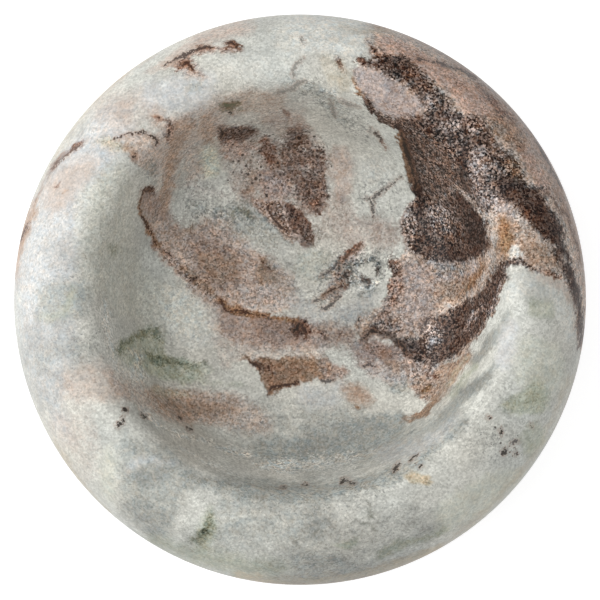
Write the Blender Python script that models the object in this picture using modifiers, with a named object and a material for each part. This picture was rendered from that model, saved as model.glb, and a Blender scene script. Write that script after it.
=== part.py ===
"""Thick-walled marble bowl, turned from one block of stone, on four self-adhesive felt pads.

Metres, +Z up. The origin is the point on the table below the middle of the bowl.
+Y is the far side of the bowl as it is looked down on, and +X is its right.
"""

import math

import bpy

# Stone, seen from outside
OUTER_RADIUS = 0.125
STONE_HEIGHT = 0.0757
BELLY_HEIGHT = 0.0357
BASE_RADIUS = 0.090
UNDERSIDE_TURN = math.radians(63.0)
BASE_ARRIS_RADIUS = 0.006

# Rolled rim and hollow
CREST_RADIUS = 0.096
LIP_RADIUS = 0.011
WALL_LEAN = math.radians(22.0)
COVE_RADIUS = 0.018
FLOOR_DISH = math.radians(6.0)
HOLLOW_DEPTH = 0.0515

# Felt pads, stuck under the base with a film of adhesive
PAD_RADIUS = 0.009
PAD_THICKNESS = 0.0020
PAD_EDGE_ROUND = 0.0004
PAD_CIRCLE_RADIUS = 0.066
ADHESIVE_FILM = 0.0003
PAD_BEARINGS = {
    "felt_pad_front_left": math.radians(225.0),
    "felt_pad_front_right": math.radians(315.0),
    "felt_pad_back_left": math.radians(135.0),
    "felt_pad_back_right": math.radians(45.0),
}

# Facets
TURN_STEPS = 80
FLOOR_STEPS = 5
COVE_STEPS = 7
WALL_STEPS = 3
LIP_STEPS = 8
SHOULDER_STEPS = 10
UNDERSIDE_STEPS = 9
ARRIS_STEPS = 3
PAD_SIDES = 32
PAD_EDGE_SEGMENTS = 2
AXIS_MERGE = 0.00005

BASE_HEIGHT = PAD_THICKNESS + ADHESIVE_FILM
RIM_HEIGHT = BASE_HEIGHT + STONE_HEIGHT
WIDEST_HEIGHT = BASE_HEIGHT + BELLY_HEIGHT

MARBLE = {"colour": (0.56, 0.54, 0.50, 1.0), "roughness": 0.38}
FELT = {"colour": (0.47, 0.44, 0.39, 1.0), "roughness": 0.95}


def clear_scene():
    """Removes whatever the file opened with."""
    for thing in list(bpy.data.objects):
        bpy.data.objects.remove(thing)


def new_collection(name):
    """Adds an empty collection to the scene."""
    group = bpy.data.collections.new(name)
    bpy.context.scene.collection.children.link(group)
    return group


def surface(name, look):
    """Plain opaque material with one colour and one roughness."""
    material = bpy.data.materials.new(name)
    material.use_nodes = True
    shader = material.node_tree.nodes["Principled BSDF"]
    shader.inputs["Base Color"].default_value = look["colour"]
    shader.inputs["Roughness"].default_value = look["roughness"]
    shader.inputs["Metallic"].default_value = 0.0
    return material


def arc(centre, radius, start, end, steps):
    """Points on a circle from one angle to another, without the first."""
    angles = [start + (end - start) * i / steps for i in range(1, steps + 1)]
    return [(centre[0] + radius * math.cos(a), centre[1] + radius * math.sin(a)) for a in angles]


def ellipse(centre, reach, rise, start, end, steps):
    """Points on an upright ellipse from one angle to another, without the first."""
    angles = [start + (end - start) * i / steps for i in range(1, steps + 1)]
    return [(centre[0] + reach * math.cos(a), centre[1] + rise * math.sin(a)) for a in angles]


def rounded(before, corner, after, radius, steps):
    """Points of the arc that rounds a corner between two straight runs."""
    into = math.atan2(before[1] - corner[1], before[0] - corner[0])
    out = math.atan2(after[1] - corner[1], after[0] - corner[0])
    opening = (out - into + math.pi) % (2 * math.pi) - math.pi
    bisector = into + opening / 2
    away = radius / math.sin(abs(opening) / 2)
    centre = (corner[0] + away * math.cos(bisector), corner[1] + away * math.sin(bisector))
    side = math.copysign(math.pi / 2, opening)
    start = into - side
    end = out + side
    sweep = (end - start + math.pi) % (2 * math.pi) - math.pi
    first = (centre[0] + radius * math.cos(start), centre[1] + radius * math.sin(start))
    return [first] + arc(centre, radius, start, start + sweep, steps)


def hollow_profile():
    """Inside of the bowl from the middle of its floor up the wall to the crest of the rim.

    The floor is a shallow dish, the cove turns it up into a leaning wall, and the lip rolls over to the
    crest. The wall is as long as the depth leaves it.
    """
    slope = math.pi / 2 - WALL_LEAN
    lip_run = LIP_RADIUS * math.sin(slope)
    lip_drop = LIP_RADIUS * (1 - math.cos(slope))
    cove_run = COVE_RADIUS * (math.sin(slope) - math.sin(FLOOR_DISH))
    cove_drop = COVE_RADIUS * (math.cos(FLOOR_DISH) - math.cos(slope))
    dish_share = math.tan(FLOOR_DISH / 2)
    reach = CREST_RADIUS - lip_run - cove_run
    left_over = HOLLOW_DEPTH - lip_drop - cove_drop - reach * dish_share
    wall_length = left_over / (math.sin(slope) - math.cos(slope) * dish_share)

    lip_centre = (CREST_RADIUS, RIM_HEIGHT - LIP_RADIUS)
    wall_top = (CREST_RADIUS - lip_run, RIM_HEIGHT - lip_drop)
    wall_foot = (
        wall_top[0] - wall_length * math.cos(slope),
        wall_top[1] - wall_length * math.sin(slope),
    )
    cove_centre = (
        wall_foot[0] - COVE_RADIUS * math.sin(slope),
        wall_foot[1] + COVE_RADIUS * math.cos(slope),
    )
    floor_edge = (
        cove_centre[0] + COVE_RADIUS * math.sin(FLOOR_DISH),
        cove_centre[1] - COVE_RADIUS * math.cos(FLOOR_DISH),
    )
    dish_radius = floor_edge[0] / math.sin(FLOOR_DISH)
    dish_centre = (0, floor_edge[1] + dish_radius * math.cos(FLOOR_DISH))

    down = -math.pi / 2
    points = [(0, dish_centre[1] - dish_radius)]
    points += arc(dish_centre, dish_radius, down, down + FLOOR_DISH, FLOOR_STEPS)
    points += arc(cove_centre, COVE_RADIUS, down + FLOOR_DISH, down + slope, COVE_STEPS)
    for i in range(1, WALL_STEPS + 1):
        share = i / WALL_STEPS
        points.append((
            wall_foot[0] + (wall_top[0] - wall_foot[0]) * share,
            wall_foot[1] + (wall_top[1] - wall_foot[1]) * share,
        ))
    points += arc(lip_centre, LIP_RADIUS, math.pi / 2 + slope, math.pi / 2, LIP_STEPS)
    return points


def outside_profile():
    """Outside of the bowl from just past the crest, over the belly and under it to the middle of the base.

    The underside is the part of an ellipse that turns from upright at the belly to the edge of the flat
    base, where its arris is eased.
    """
    shoulder_centre = (CREST_RADIUS, WIDEST_HEIGHT)
    shoulder_width = OUTER_RADIUS - CREST_RADIUS
    shoulder_rise = RIM_HEIGHT - WIDEST_HEIGHT
    points = ellipse(shoulder_centre, shoulder_width, shoulder_rise, math.pi / 2, 0, SHOULDER_STEPS)

    sweep = (OUTER_RADIUS - BASE_RADIUS) / (1 - math.cos(UNDERSIDE_TURN))
    drop = BELLY_HEIGHT / math.sin(UNDERSIDE_TURN)
    under_centre = (OUTER_RADIUS - sweep, WIDEST_HEIGHT)
    under = ellipse(under_centre, sweep, drop, 0, -UNDERSIDE_TURN, UNDERSIDE_STEPS)
    arris = rounded(under[-2], under[-1], (0, BASE_HEIGHT), BASE_ARRIS_RADIUS, ARRIS_STEPS)
    return points + under[:-1] + arris + [(0, BASE_HEIGHT)]


def turned(name, profile, group, material):
    """Solid of revolution about the vertical axis through the origin."""
    mesh = bpy.data.meshes.new(name)
    edges = [(i, i + 1) for i in range(len(profile) - 1)]
    mesh.from_pydata([(r, 0, z) for r, z in profile], edges, [])
    mesh.materials.append(material)
    body = bpy.data.objects.new(name, mesh)
    group.objects.link(body)
    screw = body.modifiers.new("turn", "SCREW")
    screw.axis = "Z"
    screw.steps = TURN_STEPS
    screw.render_steps = TURN_STEPS
    screw.use_smooth_shade = True
    screw.use_merge_vertices = True
    screw.merge_threshold = AXIS_MERGE
    return body


def pad_mesh(material):
    """One felt disc with a softened edge, with its middle at the mesh's origin."""
    bpy.ops.mesh.primitive_cylinder_add(
        vertices=PAD_SIDES,
        radius=PAD_RADIUS,
        depth=PAD_THICKNESS,
    )
    made = bpy.context.object
    mesh = made.data
    mesh.name = "felt_pad"
    mesh.materials.append(material)
    bpy.data.objects.remove(made)
    return mesh


def felt_pads(group, axis):
    """Four pads under the base, one in each quarter."""
    mesh = pad_mesh(surface("felt", FELT))
    for name, bearing in PAD_BEARINGS.items():
        pad = bpy.data.objects.new(name, mesh)
        group.objects.link(pad)
        pad.parent = axis
        pad.location = (
            PAD_CIRCLE_RADIUS * math.cos(bearing),
            PAD_CIRCLE_RADIUS * math.sin(bearing),
            PAD_THICKNESS / 2,
        )
        edge = pad.modifiers.new("soft_edge", "BEVEL")
        edge.width = PAD_EDGE_ROUND
        edge.segments = PAD_EDGE_SEGMENTS
        edge.limit_method = "ANGLE"


def main():
    """Builds the bowl and its pads in one collection."""
    clear_scene()
    group = new_collection("marble_bowl")
    axis = bpy.data.objects.new("bowl_axis", None)
    group.objects.link(axis)
    profile = hollow_profile() + outside_profile()
    bowl = turned("bowl_body", profile, group, surface("marble", MARBLE))
    bowl.parent = axis
    felt_pads(group, axis)


main()
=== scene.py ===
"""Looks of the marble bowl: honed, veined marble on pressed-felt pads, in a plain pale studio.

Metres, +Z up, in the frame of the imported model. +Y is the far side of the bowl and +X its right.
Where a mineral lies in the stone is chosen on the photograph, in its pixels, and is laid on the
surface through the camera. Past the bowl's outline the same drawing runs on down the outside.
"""

import logging
import math
from collections.abc import Callable
from dataclasses import dataclass, field
from enum import Enum
from functools import partial

import bpy
import numpy as np
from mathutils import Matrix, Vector, noise


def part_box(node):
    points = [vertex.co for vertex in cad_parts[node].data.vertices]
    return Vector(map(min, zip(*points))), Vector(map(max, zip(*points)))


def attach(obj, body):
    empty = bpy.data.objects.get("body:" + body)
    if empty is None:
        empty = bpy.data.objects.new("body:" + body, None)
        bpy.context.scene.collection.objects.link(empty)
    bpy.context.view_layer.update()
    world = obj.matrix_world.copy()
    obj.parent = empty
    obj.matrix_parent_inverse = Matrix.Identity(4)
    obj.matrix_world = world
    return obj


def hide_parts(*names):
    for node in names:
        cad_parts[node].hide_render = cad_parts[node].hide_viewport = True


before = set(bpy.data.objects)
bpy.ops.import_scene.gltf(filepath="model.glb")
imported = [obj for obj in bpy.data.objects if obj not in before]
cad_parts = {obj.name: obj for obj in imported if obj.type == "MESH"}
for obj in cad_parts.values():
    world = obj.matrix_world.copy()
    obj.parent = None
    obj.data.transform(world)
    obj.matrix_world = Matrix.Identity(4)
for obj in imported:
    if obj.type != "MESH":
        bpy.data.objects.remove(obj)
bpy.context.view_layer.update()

log = logging.getLogger("marble_bowl")
Feed = bpy.types.Node | bpy.types.NodeSocket  # what can feed a node's input
Adder = Callable[..., bpy.types.Node]  # add_node for one tree
Look = dict[str, Feed]  # patterns by name

MM = 0.001
PHOTO_SIDE = 600
OUTLINE_LEFT, OUTLINE_RIGHT = 14.0, 586.0
OUTLINE_TOP, OUTLINE_BOTTOM = 14.3, 585.0
WHITE = "#FFFFFF"
DISPLAY_GAMMA = 2.4
GROUND_GRIT = 0.24


def linear(hex_colour: str, alpha: float = 1.0) -> tuple[float, float, float, float]:
    """Turns an sRGB hex colour into linear light.

    Args:
        hex_colour: Six hex digits after a hash sign.
        alpha: The fourth value.

    Returns:
        Linear red, green and blue, and alpha.
    """
    shares = [int(hex_colour[i:i + 2], 16) / 255 for i in (1, 3, 5)]
    values = [s / 12.92 if s <= 0.04045 else ((s + 0.055) / 1.055) ** 2.4 for s in shares]
    return (*values, alpha)


def add_node(tree: bpy.types.NodeTree, kind: str, inputs: dict | None = None,
             **settings: object) -> bpy.types.Node:
    """Adds a node, sets its options and feeds its inputs.

    Args:
        tree: The node tree.
        kind: The node's bl_idname.
        inputs: A value, another node for its first output, or an output, for each input by its name or
            number.
        settings: The node's options by their names.

    Returns:
        The new node.
    """
    node = tree.nodes.new(kind)
    for name, value in settings.items():
        setattr(node, name, value)
    for name, value in (inputs or {}).items():
        if isinstance(value, bpy.types.Node):
            value = value.outputs[0]
        if isinstance(value, bpy.types.NodeSocket):
            tree.links.new(value, node.inputs[name])
        else:
            node.inputs[name].default_value = value
    return node


def empty_nodes(owner: bpy.types.Material | bpy.types.World) -> Adder:
    """Turns on the nodes of a material or a world, and clears them.

    Args:
        owner: The material or world.

    Returns:
        What adds a node to its tree.
    """
    owner.use_nodes = True
    owner.node_tree.nodes.clear()
    return partial(add_node, owner.node_tree)


def arc(centre: tuple[float, float], reach: float, rise: float, start: float, end: float,
        steps: int) -> list[tuple[float, float]]:
    """Points on an upright ellipse between two angles, without the first.

    Args:
        centre: Radius and height of the middle.
        reach: Half width.
        rise: Half height.
        start: First angle in radians.
        end: Last angle.
        steps: How many points to make.

    Returns:
        Pairs of radius and height.
    """
    angles = [start + (end - start) * i / steps for i in range(1, steps + 1)]
    return [(centre[0] + reach * math.cos(a), centre[1] + rise * math.sin(a)) for a in angles]


class Mineral(Enum):
    """Minerals and stains of the block by their colour on the honed face; some are also laid as painted
    shade and highlight.
    """

    PEARL = "#C2C2C0"
    IVORY = "#C9CABC"
    SNOW = "#D6D6CF"
    SMOKE = "#A1A39D"
    ASH = "#7F807B"
    SAGE = "#ABAF9B"
    MOSS = "#666953"
    STRAW = "#B7AC96"
    BLUSH = "#BCAEA3"
    LILAC = "#ACA09B"
    ROSE = "#A39186"
    FAWN = "#A8917F"
    SALMON = "#BD9F8F"
    BUFF = "#8F7661"
    OCHRE = "#8C6846"
    RUST = "#704A34"
    LIVER = "#33190D"
    TAUPE = "#7B6355"
    UMBER = "#4E392E"
    BISTRE = "#2C1B15"
    SLATE = "#2E2E31"
    SOOT = "#171310"


# The minerals under their own names, for the tables
(PEARL, IVORY, SNOW, SMOKE, ASH, SAGE, MOSS, STRAW, BLUSH, LILAC, ROSE, FAWN, SALMON, BUFF, OCHRE, RUST,
 LIVER, TAUPE, UMBER, BISTRE, SLATE, SOOT) = Mineral


class Fleck(Enum):
    """Small things that are scattered in a part of the stone, by their place in the attribute."""

    PEPPER = 0
    GRAPHITE = 1
    SUGAR = 2


PEPPER, GRAPHITE, SUGAR = Fleck


@dataclass(frozen=True)
class Shape:
    """Drawn shape: its points in the photograph's pixels, how much it covers and how soft its edge is.

    Grit says how far the grain shows in it and breaks its edge, from 0, not at all, to 1.
    """

    kind: Mineral | Fleck
    points: tuple[tuple[float, ...], ...]
    amount: float = 1.0
    soft: float = 3.0
    grit: float = 0.6

    def smooth(self, closed: bool, pieces: int = 5) -> np.ndarray:
        """Draws a smooth curve through the points.

        Args:
            closed: Whether the last point leads back to the first.
            pieces: How many straight pieces stand for each stretch.

        Returns:
            One row for each point of the finer line.
        """
        given = np.array(self.points, float)
        if closed:
            ring = np.vstack((given[-1], given, given[:2]))
        else:
            ring = np.vstack((2 * given[0] - given[1], given, 2 * given[-1] - given[-2]))
        rows = []
        for a, b, c, d in zip(ring, ring[1:], ring[2:], ring[3:]):
            for t in np.arange(pieces) / pieces:
                rows.append(0.5 * (2 * b + (c - a) * t + (2 * a - 5 * b + 4 * c - d) * t ** 2
                                   + (3 * b - a - 3 * c + d) * t ** 3))
        return np.array(rows if closed else [*rows, given[-1]])

    def cover(self, inside: np.ndarray) -> np.ndarray:
        """Turns the distance inside the shape's edge into a share from 0 to 1."""
        share = np.clip(0.5 + inside / (2 * self.soft), 0, 1)
        return share * share * (3 - 2 * share)


@dataclass(frozen=True)
class Pool(Shape):
    """Area inside a smooth outline."""

    def lay(self, at: np.ndarray) -> tuple[np.ndarray, np.ndarray]:
        """Finds which places lie in the area.

        Args:
            at: Photo pixels of the places.

        Returns:
            The numbers of the places near the area, and the share of each that it covers.
        """
        outline = self.smooth(closed=True)
        near = close_to(at, outline, self.soft)
        place = at[near]
        best = np.full(len(near), np.inf)
        odd = np.zeros(len(near), bool)
        for start, end in zip(outline, np.roll(outline, -1, 0)):
            best = np.minimum(best, off_segment(place, start, end)[0])
            if start[1] != end[1]:
                over = (start[1] > place[:, 1]) != (end[1] > place[:, 1])
                reach = start[0] + (end[0] - start[0]) * (place[:, 1] - start[1]) / (end[1] - start[1])
                odd ^= over & (place[:, 0] < reach)
        return near, self.cover(np.where(odd, best, -best))


@dataclass(frozen=True)
class Streak(Shape):
    """Smooth line whose points hold a half width after their place."""

    def lay(self, at: np.ndarray) -> tuple[np.ndarray, np.ndarray]:
        """Finds which places lie on the line.

        Args:
            at: Photo pixels of the places.

        Returns:
            The numbers of the places near the line, and the share of each that it covers.
        """
        line = self.smooth(closed=False)
        near = close_to(at, line[:, :2], self.soft + line[:, 2].max())
        best = np.full(len(near), -np.inf)
        for start, end in zip(line, line[1:]):
            off, share, _ = off_segment(at[near], start[:2], end[:2])
            best = np.maximum(best, start[2] + (end[2] - start[2]) * share - off)
        return near, self.cover(best)


@dataclass(frozen=True)
class Vein(Shape):
    """Hairline too narrow for the mesh, kept as a distance to one side or the other of its middle."""

    reach: float = 3.0
    margin: float = 9.0

    def lay(self, at: np.ndarray) -> tuple[np.ndarray, np.ndarray, np.ndarray]:
        """Finds how places lie beside the line.

        Args:
            at: Photo pixels of the places.

        Returns:
            The numbers of the places near the line, the pixels from its middle, to the left as a positive
            number, and its half width there, which is below zero past its ends and far from it.
        """
        line = self.smooth(closed=False)
        near = close_to(at, line[:, :2], self.margin)
        place = at[near]
        best = np.full(len(near), np.inf)
        side = np.zeros(len(near))
        half = np.full(len(near), -self.margin)
        for start, end in zip(line, line[1:]):
            off, share, across = off_segment(place, start[:2], end[:2])
            closer = off < best
            past = np.sqrt(np.maximum(off ** 2 - across ** 2, 0))
            width = start[2] + (end[2] - start[2]) * share
            far = np.maximum(np.abs(across) - width - self.reach, 0)
            best = np.where(closer, off, best)
            side = np.where(closer, across, side)
            half = np.where(closer, width - past - far, half)
        return near, side, half


def off_segment(place: np.ndarray, start: np.ndarray, end: np.ndarray) -> tuple[np.ndarray, ...]:
    """Measures places against a straight piece of a line.

    Args:
        place: Photo pixels of the places.
        start: Photo pixel of its first end.
        end: Photo pixel of its last end.

    Returns:
        The distance from the piece, the share of the way along it, and the distance to its left.
    """
    run = end - start
    length = max(float(np.hypot(*run)), 1e-6)
    away = place - start
    share = np.clip(away @ run / length ** 2, 0, 1)
    off = np.hypot(*(away - share[:, None] * run).T)
    return off, share, (away[:, 1] * run[0] - away[:, 0] * run[1]) / length


def close_to(at: np.ndarray, line: np.ndarray, margin: float) -> np.ndarray:
    """Lists the places in the box round a line.

    Args:
        at: Photo pixels of the places.
        line: Photo pixels of the line's points.
        margin: How far past the line the box reaches.

    Returns:
        The numbers of the places.
    """
    low = line.min(0) - margin
    high = line.max(0) + margin
    return np.flatnonzero(((at > low) & (at < high)).all(1))


@dataclass(frozen=True)
class Lathe:
    """Geometry Nodes tree that turns a profile curve into a closed, evenly meshed solid."""

    name: str = "lathe"
    merge_distance: float = 0.01 * MM
    inputs: tuple[tuple[str, str], ...] = (
        ("Profile", "Geometry"), ("Turn Steps", "Int"), ("Profile Steps", "Int"), ("Fine Length", "Float"),
        ("Fine Steps", "Float"), ("Clockwise", "Bool"), ("Material", "Material"))

    def tree(self) -> bpy.types.NodeTree:
        """Builds the tree, whose inputs are the profile, the counts of facets and the material.

        Returns:
            The node tree, ready for a modifier.
        """
        tree = bpy.data.node_groups.new(self.name, "GeometryNodeTree")
        add = partial(add_node, tree)
        tree.is_modifier = True
        for name, kind in self.inputs:
            tree.interface.new_socket(name=name, in_out="INPUT", socket_type="NodeSocket" + kind)
        tree.interface.new_socket(name="Solid", in_out="OUTPUT", socket_type="NodeSocketGeometry")
        given = add("NodeGroupInput").outputs
        columns = add("ShaderNodeMath", {0: given["Turn Steps"], 1: 1.0}, operation="ADD")
        rows = add("ShaderNodeMath", {0: given["Profile Steps"], 1: 1.0}, operation="ADD")
        grid = add("GeometryNodeMeshGrid", {
            "Size X": 1.0, "Size Y": 1.0, "Vertices X": columns, "Vertices Y": rows})
        place = add("ShaderNodeSeparateXYZ", {0: add("GeometryNodeInputPosition")})
        turn = add("ShaderNodeMapRange", {
            "Value": place.outputs["X"], "From Min": -0.5, "From Max": 0.5, "To Max": math.tau})
        step = add("ShaderNodeMath", {0: place.outputs["Y"], 1: 0.5}, operation="ADD")
        fine = add("ShaderNodeMapRange", {
            "Value": step, "From Max": given["Fine Steps"], "To Max": given["Fine Length"]})
        coarse = add("ShaderNodeMapRange", {
            "Value": step, "From Min": given["Fine Steps"], "To Min": given["Fine Length"],
            "From Max": 1.0, "To Max": 1.0})
        past = add("ShaderNodeMath", {0: step, 1: given["Fine Steps"]}, operation="GREATER_THAN")
        along = add("ShaderNodeMix", {"Factor": past, 2: fine, 3: coarse}, data_type="FLOAT")
        sample = add("GeometryNodeSampleCurve", {
            "Curves": given["Profile"], "Factor": along}, mode="FACTOR", use_all_curves=True)
        turned = add("ShaderNodeVectorRotate", {
            "Vector": sample.outputs["Position"], "Angle": turn}, rotation_type="Z_AXIS")
        stored = add("GeometryNodeStoreNamedAttribute", {
            "Geometry": grid.outputs["Mesh"], "Name": "along", "Value": along},
            data_type="FLOAT", domain="POINT")
        placed = add("GeometryNodeSetPosition", {"Geometry": stored, "Position": turned})
        closed = add("GeometryNodeMergeByDistance", {"Geometry": placed, "Distance": self.merge_distance})
        outward = add("GeometryNodeFlipFaces", {"Mesh": closed, "Selection": given["Clockwise"]})
        smooth = add("GeometryNodeSetShadeSmooth", {"Geometry": outward})
        real = add("GeometryNodeRealizeInstances", {"Geometry": smooth})
        dressed = add("GeometryNodeSetMaterial", {"Geometry": real, "Material": given["Material"]})
        add("NodeGroupOutput", {"Solid": dressed})
        return tree

    def turn(self, name: str, profile: list[tuple[float, float]], turn_steps: int, profile_steps: int,
             fine_length: float, fine_steps: float, material: bpy.types.Material) -> bpy.types.Object:
        """Turns a profile into an object whose place is in its mesh.

        Args:
            name: The object's name.
            profile: Radius and height of each point, from the axis round to the axis.
            turn_steps: Facets round the axis.
            profile_steps: Facets along the profile.
            fine_length: Share of the profile's length that is meshed finely.
            fine_steps: Share of the profile's facets that it gets.
            material: What the solid is made of.

        Returns:
            The object, with a plain mesh whose faces point outwards.
        """
        line = bpy.data.curves.new(name + "_profile", "CURVE")
        line.dimensions = "3D"
        spline = line.splines.new("POLY")
        spline.points.add(len(profile) - 1)
        for point, (radius, height) in zip(spline.points, profile):
            point.co = (radius, 0, height, 1)
        guide = bpy.data.objects.new(name + "_profile", line)
        bpy.context.scene.collection.objects.link(guide)
        tree = self.tree()
        modifier = guide.modifiers.new(self.name, "NODES")
        modifier.node_group = tree
        swept = sum(a[0] * b[1] - b[0] * a[1] for a, b in zip(profile, profile[1:]))
        values = {"Turn Steps": turn_steps, "Profile Steps": profile_steps, "Fine Length": fine_length,
                  "Fine Steps": fine_steps, "Clockwise": swept < 0, "Material": material}
        for socket in tree.interface.items_tree:
            if socket.name in values:
                modifier[socket.identifier] = values[socket.name]
        bpy.context.view_layer.update()
        evaluated = guide.evaluated_get(bpy.context.evaluated_depsgraph_get())
        mesh = bpy.data.meshes.new_from_object(evaluated)
        bpy.data.objects.remove(guide)
        mesh.name = name
        solid = bpy.data.objects.new(name, mesh)
        bpy.context.scene.collection.objects.link(solid)
        return solid


@dataclass(frozen=True)
class BowlProfile:
    """Half section of the bowl, in metres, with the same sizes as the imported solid."""

    outer_radius: float
    rim_height: float
    base_height: float
    belly_rise: float = 35.7 * MM
    base_radius: float = 90.0 * MM
    underside_turn: float = math.radians(63.0)
    base_arris: float = 6.0 * MM
    crest_radius: float = 96.0 * MM
    lip_radius: float = 11.0 * MM
    wall_lean: float = math.radians(22.0)
    cove_radius: float = 18.0 * MM
    floor_dish: float = math.radians(6.0)
    hollow_depth: float = 51.5 * MM
    steps: int = 40
    arris_steps: int = 8

    def hollow(self) -> list[tuple[float, float]]:
        """Gives the inside, from the middle of the floor up the wall to the crest of the rim.

        Returns:
            Pairs of radius and height.
        """
        slope = math.pi / 2 - self.wall_lean
        lip_run = self.lip_radius * math.sin(slope)
        lip_drop = self.lip_radius * (1 - math.cos(slope))
        cove_run = self.cove_radius * (math.sin(slope) - math.sin(self.floor_dish))
        cove_drop = self.cove_radius * (math.cos(self.floor_dish) - math.cos(slope))
        dish_share = math.tan(self.floor_dish / 2)
        reach = self.crest_radius - lip_run - cove_run
        left_over = self.hollow_depth - lip_drop - cove_drop - reach * dish_share
        wall = left_over / (math.sin(slope) - math.cos(slope) * dish_share)
        top = (self.crest_radius - lip_run, self.rim_height - lip_drop)
        foot = (top[0] - wall * math.cos(slope), top[1] - wall * math.sin(slope))
        cove = (foot[0] - self.cove_radius * math.sin(slope), foot[1] + self.cove_radius * math.cos(slope))
        edge = cove[0] + self.cove_radius * math.sin(self.floor_dish)
        edge_height = cove[1] - self.cove_radius * math.cos(self.floor_dish)
        dish = edge / math.sin(self.floor_dish)
        dish_height = edge_height + dish * math.cos(self.floor_dish)
        down = -math.pi / 2
        points = [(0.0, dish_height - dish)]
        points += arc((0, dish_height), dish, dish, down, down + self.floor_dish, self.steps)
        points += arc(cove, self.cove_radius, self.cove_radius, down + self.floor_dish, down + slope,
                      self.steps)
        points.append(top)
        lip = (self.crest_radius, self.rim_height - self.lip_radius)
        points += arc(lip, self.lip_radius, self.lip_radius, math.pi / 2 + slope, math.pi / 2, self.steps)
        return points

    def outside(self) -> list[tuple[float, float]]:
        """Gives the outside, from the crest over the belly and under it to the middle of the base.

        Returns:
            Pairs of radius and height.
        """
        widest = self.base_height + self.belly_rise
        width = self.outer_radius - self.crest_radius
        points = arc((self.crest_radius, widest), width, self.rim_height - widest, math.pi / 2, 0.0,
                     self.steps)
        drop = self.belly_rise / math.sin(self.underside_turn)
        sweep = (self.outer_radius - self.base_radius) / (1 - math.cos(self.underside_turn))
        under = arc((self.outer_radius - sweep, widest), sweep, drop, 0.0, -self.underside_turn, self.steps)
        tangent = math.atan2(drop * math.cos(self.underside_turn), sweep * math.sin(self.underside_turn))
        setback = self.base_arris * math.tan(tangent / 2)
        centre = (self.base_radius - setback, self.base_height + self.base_arris)
        kept = [p for p in under if p[1] > self.base_height + self.base_arris * (1 - math.cos(tangent))]
        arris = arc(centre, self.base_arris, self.base_arris, tangent - math.pi / 2, -math.pi / 2,
                    self.arris_steps)
        return points + kept + arris + [(0.0, self.base_height)]


@dataclass(frozen=True)
class SoftBox:
    """Square lamp that faces the bowl: watts, metres, and its direction in plan and above the horizon."""

    name: str
    power: float
    side: float
    bearing: float
    height: float
    distance: float = 1.9

    def hang(self) -> None:
        """Puts the lamp in its place, turned to the bowl."""
        data = bpy.data.lights.new(self.name, "AREA")
        data.shape = "SQUARE"
        data.size = self.side
        data.energy = self.power
        lamp = bpy.data.objects.new(self.name, data)
        flat = math.cos(self.height)
        towards = Vector((flat * math.cos(self.bearing), flat * math.sin(self.bearing),
                          math.sin(self.height)))
        lamp.location = towards * self.distance
        lamp.rotation_euler = (-towards).to_track_quat("-Z", "Y").to_euler()
        bpy.context.scene.collection.objects.link(lamp)


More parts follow.
